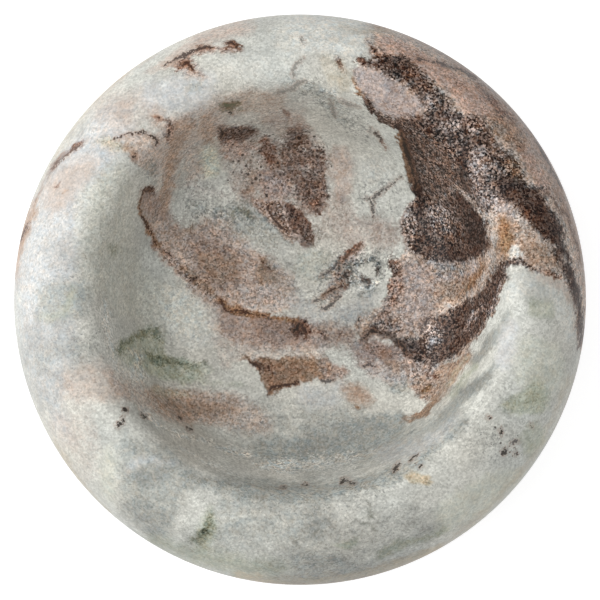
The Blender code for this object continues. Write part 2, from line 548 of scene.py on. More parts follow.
@dataclass
class Studio:
    """Camera, lamps, floor and background."""

    elevation: float = math.radians(84.5)
    distance: float = 1.2
    aim_height: float = 40 * MM
    sensor: float = 36 * MM
    floor_side: float = 12.0
    floor_paint: str = "#B4B4B4"
    floor_glow: float = 0.8
    ambient: float = 0.252
    lamps: tuple[SoftBox, ...] = (
        SoftBox("key", 54.0, 2.4, math.radians(172.0), math.radians(36.0)),
        SoftBox("fill", 10.0, 1.2, math.radians(-40.0), math.radians(22.0)),
        SoftBox("top", 5.7, 1.2, math.radians(90.0), math.radians(80.0)))
    camera: bpy.types.Object | None = field(default=None, init=False)

    def add_camera(self, points: np.ndarray) -> None:
        """Makes the camera, and fits its lens and shift so that the bowl fills the photograph's outline.

        Args:
            points: The bowl's vertices, in metres.
        """
        data = bpy.data.cameras.new("camera")
        data.sensor_width = self.sensor / MM
        self.camera = bpy.data.objects.new("camera", data)
        back = Vector((0, -math.cos(self.elevation), math.sin(self.elevation)))
        self.camera.location = back * self.distance + Vector((0, 0, self.aim_height))
        self.camera.rotation_euler = (-back).to_track_quat("-Z", "Y").to_euler()
        bpy.context.scene.collection.objects.link(self.camera)
        bpy.context.scene.camera = self.camera
        bpy.context.view_layer.update()
        seen = self.pixels(points)
        low = seen.min(0)
        high = seen.max(0)
        scale = (OUTLINE_RIGHT - OUTLINE_LEFT) / (high[0] - low[0])
        data.lens *= scale
        middle = PHOTO_SIDE / 2 + ((low + high) / 2 - PHOTO_SIDE / 2) * scale
        data.shift_x = (middle[0] - (OUTLINE_LEFT + OUTLINE_RIGHT) / 2) / PHOTO_SIDE
        data.shift_y = ((OUTLINE_TOP + OUTLINE_BOTTOM) / 2 - middle[1]) / PHOTO_SIDE

    def pixels(self, points: np.ndarray) -> np.ndarray:
        """Finds where points show in the photograph.

        Args:
            points: One row of x, y and z for each point, in metres.

        Returns:
            One row of x and y for each, in the photograph's pixels.
        """
        data = self.camera.data
        to_camera = np.array(self.camera.matrix_world.inverted())
        local = points @ to_camera[:3, :3].T + to_camera[:3, 3]
        flat = local[:, :2] / -local[:, 2:] * data.lens / data.sensor_width
        return PHOTO_SIDE * np.stack((0.5 + flat[:, 0] - data.shift_x, 0.5 - flat[:, 1] + data.shift_y), 1)

    def add_floor(self) -> None:
        """Adds the plain pale floor, which shows nearly white and keeps the bowl's shadow."""
        half = self.floor_side / 2
        mesh = bpy.data.meshes.new("floor")
        corners = [(-half, -half, 0), (half, -half, 0), (half, half, 0), (-half, half, 0)]
        mesh.from_pydata(corners, [], [(0, 1, 2, 3)])
        floor = bpy.data.objects.new("floor", mesh)
        bpy.context.scene.collection.objects.link(floor)
        material = bpy.data.materials.new("matt white studio floor")
        add = empty_nodes(material)
        path = add("ShaderNodeLightPath")
        shown = add("ShaderNodeMath", {
            0: path.outputs["Is Camera Ray"], 1: path.outputs["Is Glossy Ray"]}, operation="MAXIMUM")
        paint = add("ShaderNodeBsdfDiffuse", {"Color": linear(self.floor_paint)})
        level = add("ShaderNodeMath", {0: shown, 1: self.floor_glow}, operation="MULTIPLY")
        glow = add("ShaderNodeEmission", {"Color": linear(WHITE), "Strength": level})
        both = add("ShaderNodeAddShader", {0: paint, 1: glow})
        add("ShaderNodeOutputMaterial", {"Surface": both})
        mesh.materials.append(material)

    def add_world(self) -> None:
        """Adds the white background and the soft light that comes from all round."""
        world = bpy.data.worlds.new("studio")
        bpy.context.scene.world = world
        add = empty_nodes(world)
        path = add("ShaderNodeLightPath")
        strength = add("ShaderNodeMapRange", {
            "Value": path.outputs["Is Camera Ray"], "To Min": self.ambient, "To Max": 1.0})
        sky = add("ShaderNodeBackground", {"Color": linear(WHITE), "Strength": strength})
        add("ShaderNodeOutputWorld", {"Surface": sky})


# The hidden outside, guessed: the brown part and the bands of the rim run on down it
OUTSIDE: tuple[Shape, ...] = (
    Pool(ROSE, ((372, 40), (440, 60), (520, 130), (566, 220), (580, 350), (628, 376), (690, 350), (722, 250),
        (690, 130), (610, 20), (500, -56), (410, -66), (372, -10)), 0.85, 9, 0.5),
    Pool(SALMON, ((440, 40), (500, 40), (560, 80), (604, 150), (640, 180), (640, 120), (580, 40), (500, -10),
        (440, 0)), 0.7, 8, 0.45),
    Streak(UMBER, ((584, 340, 3), (604, 300, 8), (618, 240, 12), (616, 180, 14), (592, 120, 12),
        (556, 76, 7), (520, 46, 3)), 0.85, 5, 0.9),
    Streak(BISTRE, ((470, 10, 1), (540, 30, 4), (610, 90, 6), (652, 170, 7), (670, 260, 3)), 0.8, 4, 0.9),
    Streak(TAUPE, ((400, -20, 3), (480, -20, 8), (580, 20, 10), (680, 140, 8), (700, 240, 4)), 0.7, 6, 0.8),
    Streak(OCHRE, ((594, 330, 2), (624, 320, 4), (660, 300, 3)), 0.7, 4, 0.6),
    Pool(BLUSH, ((110, 84), (170, 44), (250, 22), (262, -30), (200, -60), (110, -10), (60, 60)),
        0.6, 12, 0.3),
    Streak(FAWN, ((80, 40, 3), (130, 8, 7), (190, -20, 8), (260, -40, 3)), 0.6, 7, 0.4),
    Streak(RUST, ((60, 70, 1), (96, 34, 2.5), (150, -2, 3), (200, -12, 1)), 0.7, 3, 0.8),
    Streak(ROSE, ((16, 270, 4), (-6, 320, 8), (-30, 370, 9), (-40, 430, 5)), 0.7, 7, 0.4),
    Streak(SMOKE, ((-60, 260, 8), (-50, 360, 12), (20, 500, 14), (120, 600, 12), (220, 650, 8)),
        0.6, 12, 0.3),
    Streak(SAGE, ((60, 520, 4), (140, 590, 9), (240, 625, 10), (340, 630, 6)), 0.6, 9, 0.3),
    Streak(SMOKE, ((340, 660, 8), (440, 630, 12), (540, 560, 12), (610, 460, 8)), 0.6, 12, 0.3),
    Streak(STRAW, ((420, 600, 3), (500, 550, 7), (570, 480, 7), (610, 420, 3)), 0.35, 12, 0.25),
)

# Broad, soft tones of the pale ground. Places past the outline run on down the outside.
GROUND_TONES: tuple[Shape, ...] = (
    Pool(PEARL, ((14, 290), (18, 240), (34, 196), (70, 140), (104, 104), (130, 104), (128, 140), (112, 172),
        (84, 200), (78, 250), (80, 300), (74, 350), (64, 400), (70, 440), (50, 420), (24, 370)),
        0.8, 14, 0.22),
    Pool(PEARL, ((140, 84), (170, 76), (210, 70), (214, 96), (196, 112), (160, 112), (140, 104)),
        0.7, 10, 0.15),
    Pool(SNOW, ((210, 56), (250, 48), (300, 50), (300, 78), (270, 86), (230, 84)), 0.35, 10, 0.2),
    Pool(SNOW, ((290, 14), (330, 14), (368, 24), (366, 40), (366, 54), (340, 56), (310, 50), (290, 36)),
        0.75, 8, 0.22),
    Pool(IVORY, ((84, 206), (100, 172), (132, 168), (138, 214), (142, 256), (164, 280), (196, 302),
        (204, 328), (166, 328), (120, 322), (100, 300), (82, 286)), 0.4, 12, 0.3),
    Pool(SMOKE, ((38, 292), (56, 282), (74, 280), (88, 288), (88, 312), (70, 322), (48, 320), (38, 308)),
        0.78, 10, 0.26),
    Streak(SAGE, ((42, 318, 2), (56, 316, 3), (66, 308, 4), (70, 298, 4), (72, 286, 2)), 0.5, 5, 0.15),
    Streak(MOSS, ((110, 244, 3), (114, 250, 5), (112, 256, 2)), 0.35, 5, 0.4),
    Pool(SMOKE, ((60, 342), (80, 336), (100, 344), (104, 356), (84, 362), (60, 358), (40, 372), (34, 356)),
        0.35, 8, 0.3),
    Streak(SNOW, ((104, 300, 3), (106, 316, 4), (108, 334, 4), (112, 352, 3), (118, 366, 3), (128, 374, 3),
        (140, 382, 3)), 0.75, 5, 0.5),
    Pool(BLUSH, ((60, 376), (84, 362), (104, 360), (120, 378), (124, 398), (96, 406), (68, 400)),
        0.6, 10, 0.22),
    Pool(BLUSH, ((52, 420), (84, 410), (102, 428), (104, 452), (98, 476), (84, 484), (66, 452)),
        0.4, 12, 0.2),
    Streak(STRAW, ((54, 440, 2), (70, 468, 3), (88, 492, 2), (110, 514, 2)), 0.6, 4, 0.2),
    Pool(IVORY, ((102, 452), (116, 448), (116, 480), (112, 502), (100, 492)), 0.5, 7, 0.1),
    Pool(SMOKE, ((118, 424), (132, 432), (148, 442), (172, 446), (190, 464), (196, 486), (178, 512),
        (166, 540), (146, 532), (124, 510), (116, 478)), 0.7, 12, 0.25),
    Pool(ASH, ((136, 470), (148, 464), (160, 468), (168, 476), (156, 484), (140, 482)), 0.4, 6, 0.25),
    Streak(PEARL, ((128, 470, 3), (142, 460, 3), (160, 462, 2), (176, 464, 2)), 0.6, 4, 0.2),
    Pool(SMOKE, ((222, 488), (250, 484), (300, 488), (330, 500), (330, 530), (290, 548), (240, 552),
        (206, 546), (204, 520)), 0.6, 24, 0.28),
    Pool(SAGE, ((150, 536), (200, 548), (250, 556), (290, 566), (270, 578), (210, 572), (160, 552)),
        0.55, 9, 0.2),
    Streak(SMOKE, ((190, 478, 3), (222, 484, 6), (262, 490, 8), (300, 492, 9), (330, 490, 9), (362, 484, 9),
        (392, 476, 8), (416, 464, 6), (436, 446, 6), (462, 424, 5)), 0.9, 9, 0.35),
    Streak(ASH, ((340, 494, 1), (356, 488, 2), (372, 486, 1)), 0.4, 3, 0.5),
    Streak(ASH, ((380, 474, 1), (390, 470, 3), (400, 478, 2)), 0.4, 4, 0.5),
    Pool(SMOKE, ((296, 556), (326, 552), (350, 560), (362, 570), (340, 578), (300, 578)), 0.5, 6, 0.4),
    Streak(STRAW, ((236, 576, 3), (280, 582, 4), (330, 582, 5), (380, 572, 6), (410, 560, 5), (440, 548, 3)),
        0.85, 4, 0.15),
    Streak(TAUPE, ((250, 583, 1), (300, 588, 3), (340, 585, 3), (380, 576, 2)), 0.6, 3, 0.2),
    Pool(IVORY, ((440, 500), (490, 470), (520, 468), (510, 490), (480, 516), (450, 532), (436, 524)),
        0.6, 9, 0.1),
    Streak(STRAW, ((440, 548, 2), (480, 516, 3), (512, 482, 3), (540, 446, 4), (552, 420, 3), (570, 376, 3)),
        0.5, 5, 0.1),
    # The grey band low in the hollow is partly the stone's own grey and partly painted shade at the foot of
    # the low wall
    Pool(SMOKE, ((258, 446), (272, 438), (300, 440), (326, 434), (346, 424), (376, 418), (402, 414),
        (400, 428), (384, 444), (352, 456), (326, 460), (296, 463), (262, 460)), 1.0, 8, 0.28),
    Pool(ASH, ((296, 448), (320, 440), (346, 428), (370, 422), (384, 426), (366, 438), (340, 448),
        (310, 456)), 0.6, 5, 0.25),
    Pool(SMOKE, ((240, 404), (290, 396), (350, 404), (400, 420), (440, 404), (456, 420), (410, 452),
        (340, 470), (270, 466), (220, 450)), 0.45, 14, 0.3),
    # The white streaks along the low wall are partly sugary calcite and partly painted light on that wall
    Streak(SNOW, ((140, 406, 1), (150, 416, 2), (162, 428, 1.5)), 0.8, 2, 0.5),
    Streak(SNOW, ((166, 428, 2), (184, 436, 3), (204, 440, 2), (222, 448, 2), (240, 454, 3), (256, 458, 2)),
        0.75, 4, 0.6),
    Streak(SNOW, ((176, 446, 1), (192, 454, 2), (214, 466, 2), (236, 474, 2)), 0.6, 3, 0.5),
    Streak(SNOW, ((256, 466, 3), (280, 466, 6), (304, 466, 6), (330, 462, 4), (350, 458, 3), (374, 452, 2)),
        0.75, 4, 0.6),
    Pool(PEARL, ((380, 446), (420, 436), (456, 412), (452, 430), (424, 452), (384, 462)), 0.5, 6, 0.2),
    Pool(STRAW, ((408, 474), (416, 471), (430, 476), (430, 484), (416, 486), (407, 482)), 0.9, 3, 0.35),
    Streak(SMOKE, ((508, 312, 3), (502, 326, 5), (490, 342, 5), (480, 356, 4), (472, 364, 2)), 0.9, 4, 0.15),
    Streak(SMOKE, ((494, 366, 3), (484, 380, 5), (470, 390, 5), (458, 402, 5), (446, 416, 4), (430, 430, 4)),
        0.9, 5, 0.2),
    Streak(ASH, ((488, 374, 2), (478, 384, 3), (470, 390, 3), (462, 394, 2)), 0.6, 4, 0.25),
    Streak(SAGE, ((476, 366, 3), (464, 380, 3), (452, 396, 3)), 0.6, 4, 0.15),
    # The pearl pool on the right lip and the white pool on the right rim are paler stone and also a painted
    # highlight, where the key lamp's sheen lies
    Pool(PEARL, ((500, 330), (516, 320), (518, 352), (504, 372), (496, 360)), 0.7, 5, 0.1),
    Pool(SNOW, ((506, 284), (520, 272), (540, 274), (560, 286), (572, 306), (576, 336), (566, 344),
        (556, 318), (540, 296), (524, 298), (508, 302)), 0.6, 7, 0.15),
    Pool(SAGE, ((528, 302), (540, 298), (552, 302), (552, 318), (538, 320), (528, 316)), 0.5, 4, 0.15),
    Pool(IVORY, ((520, 340), (544, 336), (562, 350), (564, 380), (548, 400), (524, 396), (514, 372)),
        0.6, 9, 0.15),
    Pool(SAGE, ((524, 392), (534, 380), (546, 390), (548, 410), (532, 416), (506, 412), (500, 402)),
        0.65, 6, 0.3),
    Streak(MOSS, ((516, 404, 1), (528, 400, 2), (537, 394, 2)), 0.3, 4, 0.4),
    Pool(SAGE, ((520, 432), (540, 420), (544, 440), (528, 456), (518, 446)), 0.5, 6, 0.2),
    Pool(STRAW, ((318, 60), (334, 56), (348, 62), (352, 80), (346, 94), (332, 88), (322, 76)),
        0.45, 6, 0.25),
    Streak(STRAW, ((340, 26, 2), (360, 30, 3), (380, 32, 3), (396, 34, 2)), 0.6, 4, 0.2),
    Streak(SMOKE, ((186, 88, 3), (196, 86, 5), (204, 84, 2)), 0.6, 4, 0.4),
    Pool(SMOKE, ((284, 82), (306, 76), (320, 82), (338, 96), (352, 112), (356, 130), (340, 126), (324, 110),
        (300, 92)), 0.5, 6, 0.5),
    # Painted highlight along the top inner lip, over a white seam; the grey ash hairline just under it is
    # its painted shadow
    Streak(SNOW, ((318, 90, 1), (332, 92, 2), (346, 100, 2), (358, 104, 1.5), (364, 107, 1)), 0.9, 2, 0.3),
    Pool(BLUSH, ((330, 150), (346, 146), (354, 164), (352, 190), (340, 200), (330, 178)), 0.75, 7, 0.3),
    Pool(SNOW, ((362, 158), (380, 156), (394, 172), (380, 182), (364, 180)), 0.45, 7, 0.25),
    Pool(ROSE, ((326, 200), (350, 196), (362, 214), (384, 214), (404, 226), (400, 250), (376, 252),
        (346, 250), (330, 236)), 0.55, 12, 0.4),
    Pool(IVORY, ((300, 252), (322, 248), (330, 262), (312, 280), (296, 274)), 0.5, 8, 0.25),
    Pool(SMOKE, ((222, 204), (246, 202), (270, 212), (290, 236), (270, 250), (240, 240), (226, 224)),
        0.6, 11, 0.45),
    Streak(MOSS, ((234, 214, 2), (240, 210, 3), (248, 218, 2)), 0.55, 3, 0.6),
    Streak(MOSS, ((186, 240, 2), (188, 232, 4), (192, 224, 2)), 0.6, 4, 0.7),
    Pool(SMOKE, ((186, 200), (206, 202), (226, 212), (232, 224), (210, 222), (190, 214)), 0.5, 6, 0.6),
    Pool(ROSE, ((198, 222), (220, 216), (236, 232), (226, 246), (202, 244)), 0.6, 8, 0.5),
    Pool(SMOKE, ((388, 371), (404, 369), (413, 384), (405, 395), (388, 391)), 0.7, 6, 0.4),
    Pool(IVORY, ((200, 150), (214, 146), (220, 160), (218, 176), (204, 178)), 0.85, 6, 0.35),
    Pool(LILAC, ((182, 182), (200, 180), (222, 186), (232, 196), (206, 200), (186, 196)), 0.35, 6, 0.6),
    Pool(BLUSH, ((184, 150), (200, 150), (202, 176), (186, 180)), 0.6, 5, 0.5),
    Pool(SNOW, ((160, 284), (184, 286), (206, 306), (214, 340), (196, 352), (172, 340), (160, 312)),
        0.5, 10, 0.3),
    Pool(BLUSH, ((206, 296), (220, 304), (226, 340), (240, 356), (226, 372), (212, 340)), 0.5, 7, 0.4),
    Pool(BLUSH, ((230, 340), (262, 342), (300, 344), (330, 346), (322, 358), (284, 358), (246, 358)),
        0.6, 5, 0.45),
    Pool(PEARL, ((300, 296), (326, 310), (352, 300), (378, 292), (370, 312), (350, 326), (310, 322),
        (288, 304)), 0.5, 7, 0.25),
    Pool(PEARL, ((300, 386), (340, 380), (344, 396), (330, 410), (300, 404)), 0.5, 7, 0.2),
)

# Greens of chlorite on the left floor and the rim
GREENS: tuple[Shape, ...] = (
    Pool(SAGE, ((116, 346), (128, 336), (150, 326), (164, 334), (168, 352), (200, 360), (214, 372),
        (186, 382), (154, 374), (126, 366)), 0.6, 6, 0.4),
    Streak(MOSS, ((120, 352, 3), (122, 346, 4), (130, 340, 3), (138, 336, 3), (146, 332, 3), (154, 330, 3),
        (160, 338, 2)), 0.6, 5, 0.6),
    Streak(MOSS, ((148, 354, 3), (156, 358, 5), (166, 362, 4), (178, 363, 3), (190, 365, 2), (206, 362, 1)),
        0.65, 5, 0.6),
    Streak(SNOW, ((132, 352, 3), (140, 358, 4), (136, 370, 4), (146, 378, 3)), 0.6, 4, 0.6),
    Streak(SAGE, ((150, 372, 3), (176, 378, 3), (214, 382, 3), (240, 384, 2)), 0.5, 5, 0.3),
    Pool(SAGE, ((194, 540), (200, 524), (208, 506), (214, 516), (216, 540), (204, 552)), 0.5, 6, 0.3),
    Streak(MOSS, ((196, 540, 3), (204, 534, 5), (208, 526, 3), (210, 514, 1)), 0.75, 4, 0.6),
    Streak(SOOT, ((204, 534, 1), (206, 532, 1.5)), 0.95, 1.5, 0.8),
    Streak(MOSS, ((369, 502, 0.8), (370, 516, 1.8)), 0.55, 2, 0.2),
    Streak(MOSS, ((362, 521, 1), (370, 526, 1.6), (376, 531, 0.6)), 0.65, 2, 0.2),
    Streak(SAGE, ((336, 545, 2), (350, 544, 3), (356, 538, 1)), 0.7, 3, 0.2),
    Streak(SAGE, ((380, 556, 3), (396, 546, 4), (420, 540, 3), (446, 530, 3)), 0.7, 4, 0.2),
)

# Pinks and tans that lie over the ground as a thin stain
STAINS: tuple[Shape, ...] = (
    Streak(FAWN, ((16, 276, 0.5), (17, 262, 2), (22, 240, 4), (30, 216, 4), (40, 192, 0.5)), 0.9, 4, 0.3),
    Streak(TAUPE, ((36, 200, 0.6), (46, 180, 1), (56, 164, 1.2), (66, 152, 1)), 0.6, 2, 0.2),
    Streak(STRAW, ((36, 190, 0.3), (64, 144, 2), (90, 108, 2), (124, 74, 2.5), (156, 54, 0.5)),
        0.5, 4, 0.25),
    Pool(BLUSH, ((46, 186), (70, 162), (96, 160), (84, 184), (66, 206), (48, 212)), 0.7, 8, 0.12),
    Pool(BLUSH, ((96, 100), (124, 84), (144, 92), (156, 112), (156, 128), (136, 136), (110, 134), (96, 120)),
        0.38, 12, 0.22),
    Pool(FAWN, ((112, 104), (124, 98), (132, 108), (126, 122), (114, 118)), 0.25, 7, 0.2),
    Pool(BLUSH, ((140, 74), (160, 62), (186, 44), (216, 30), (252, 22), (254, 36), (230, 42), (204, 50),
        (176, 64), (156, 74)), 0.45, 6, 0.3),
    Streak(SALMON, ((148, 68, 2), (164, 63, 3), (180, 52, 4), (198, 40, 5), (222, 34, 5), (242, 28, 3)),
        0.25, 5, 0.3),
    Streak(ROSE, ((188, 57, 3), (204, 52, 3), (222, 49, 3), (240, 49, 3)), 0.7, 3, 0.62),
    Pool(ROSE, ((172, 64), (186, 58), (196, 66), (206, 78), (196, 78), (182, 72)), 0.7, 4, 0.62),
    Streak(STRAW, ((102, 141, 3), (116, 144, 5), (132, 146, 5)), 0.8, 4, 0.4),
    Pool(BLUSH, ((122, 138), (140, 132), (158, 138), (164, 160), (154, 176), (140, 168), (130, 156)),
        0.8, 5, 0.4),
    Streak(FAWN, ((124, 145, 2), (131, 152, 3), (138, 162, 2)), 0.8, 3, 0.4),
    Pool(SMOKE, ((146, 166), (156, 162), (158, 180), (150, 188)), 0.5, 5, 0.45),
    Streak(ASH, ((154, 164, 1), (155, 169, 1.8), (154, 174, 1)), 0.75, 2, 0.52),
    Pool(BLUSH, ((150, 112), (180, 114), (216, 104), (224, 130), (206, 148), (186, 152), (180, 180),
        (172, 204), (170, 222), (152, 222), (156, 190), (158, 150)), 0.65, 9, 0.4),
    Pool(FAWN, ((172, 120), (190, 118), (194, 128), (182, 144), (178, 164), (172, 184), (168, 206),
        (162, 214), (160, 192), (165, 166), (168, 140)), 0.68, 4, 0.45),
    Streak(RUST, ((170, 122, 2), (171, 130, 3), (168, 137, 2.5), (166, 143, 1)), 0.7, 3, 0.9),
    Streak(RUST, ((152, 118, 1), (159, 119, 2), (164, 121, 1)), 0.7, 2, 0.52),
    Pool(FAWN, ((202, 116), (212, 114), (216, 128), (212, 142), (204, 142)), 0.6, 5, 0.45),
    Pool(ROSE, ((142, 190), (152, 188), (160, 196), (164, 214), (158, 228), (148, 224), (142, 208)),
        0.8, 4, 0.45),
    Pool(BLUSH, ((212, 96), (240, 88), (290, 88), (308, 100), (310, 122), (280, 128), (240, 126),
        (216, 122)), 0.35, 9, 0.4),
    Pool(FAWN, ((214, 98), (240, 92), (270, 90), (286, 100), (276, 108), (250, 112), (222, 112)),
        0.4, 7, 0.35),
    Streak(MOSS, ((220, 103, 1), (228, 105, 2.4), (238, 103, 1.6)), 0.8, 2, 0.62),
    Streak(MOSS, ((222, 111, 0.8), (230, 109, 1.6), (240, 107, 1)), 0.7, 2, 0.62),
    Pool(ROSE, ((258, 116), (284, 110), (302, 116), (312, 128), (300, 134), (276, 132)), 0.45, 7, 0.45),
    Streak(TAUPE, ((283, 110, 1.5), (288, 115, 2), (289, 120, 1)), 0.8, 2, 0.45),
    Pool(BLUSH, ((150, 218), (178, 226), (204, 230), (234, 236), (264, 256), (286, 272), (298, 292),
        (288, 310), (250, 314), (222, 308), (202, 298), (182, 280), (162, 260), (150, 238)), 0.9, 8, 0.42),
    Pool(TAUPE, ((160, 214), (182, 212), (198, 224), (196, 242), (178, 252), (162, 240)), 0.28, 8, 0.5),
    Pool(ROSE, ((184, 240), (212, 232), (244, 248), (272, 262), (288, 282), (278, 302), (244, 306),
        (214, 300), (194, 280)), 0.65, 9, 0.52),
    Pool(TAUPE, ((194, 240), (216, 236), (232, 248), (242, 262), (238, 280), (222, 292), (206, 284),
        (196, 266)), 0.5, 8, 0.52),
    Pool(BUFF, ((198, 254), (216, 252), (236, 258), (240, 270), (230, 282), (212, 284), (201, 270)),
        0.56, 5, 0.52),
    Pool(BUFF, ((258, 262), (265, 259), (275, 270), (281, 283), (268, 285), (257, 280)), 0.9, 3, 0.52),
    Streak(ROSE, ((154, 242, 4), (170, 258, 6), (188, 276, 6), (206, 292, 6), (222, 304, 4)), 0.8, 4, 0.62),
    Pool(ROSE, ((218, 306), (250, 316), (290, 318), (330, 324), (352, 332), (346, 344), (300, 348),
        (250, 346), (224, 338)), 0.8, 6, 0.45),
    Pool(TAUPE, ((256, 318), (284, 318), (302, 322), (310, 338), (284, 345), (260, 338)), 0.45, 6, 0.5),
    Pool(BLUSH, ((108, 372), (134, 382), (160, 386), (200, 388), (240, 394), (262, 410), (270, 430),
        (238, 432), (206, 426), (176, 424), (144, 410), (122, 396)), 0.68, 8, 0.45),
    Pool(FAWN, ((146, 394), (176, 394), (206, 396), (232, 402), (240, 414), (206, 420), (178, 418),
        (156, 408)), 0.62, 7, 0.5),
    Streak(BUFF, ((166, 404, 2), (186, 408, 4), (206, 408, 4), (224, 410, 2)), 0.5, 4, 0.45),
    Streak(STRAW, ((156, 390, 3), (170, 394, 4), (188, 394, 2)), 0.7, 4, 0.45),
    Pool(FAWN, ((340, 386), (354, 381), (368, 388), (376, 400), (364, 406), (348, 402)), 0.75, 8, 0.35),
    Streak(OCHRE, ((353, 406, 0.8), (357, 408, 1.6)), 0.8, 1.6, 0.5),
    Pool(LILAC, ((352, 342), (380, 340), (404, 352), (416, 368), (404, 382), (378, 382), (356, 366)),
        0.6, 8, 0.52),
    Pool(TAUPE, ((362, 342), (378, 340), (396, 350), (392, 360), (370, 356)), 0.6, 6, 0.65),
    Pool(BUFF, ((384, 358), (398, 360), (405, 367), (395, 372), (386, 368)), 0.55, 5, 0.52),
    Pool(ROSE, ((404, 360), (430, 360), (444, 372), (440, 392), (426, 400), (410, 386)), 0.85, 5, 0.62),
    Pool(BUFF, ((412, 378), (426, 378), (436, 390), (426, 398), (416, 390)), 0.55, 4, 0.62),
    Pool(FAWN, ((438, 366), (452, 362), (468, 350), (472, 356), (460, 374), (450, 388), (440, 402),
        (434, 396)), 0.8, 4, 0.5),
    Streak(STRAW, ((446, 386, 1.5), (456, 372, 1.5), (468, 356, 1.5)), 0.7, 2, 0.4),
    Streak(BUFF, ((400, 421, 0.8), (410, 418, 2), (420, 415, 2.6), (428, 409, 3), (434, 402, 3),
        (440, 394, 2)), 0.95, 2.5, 0.5),
)

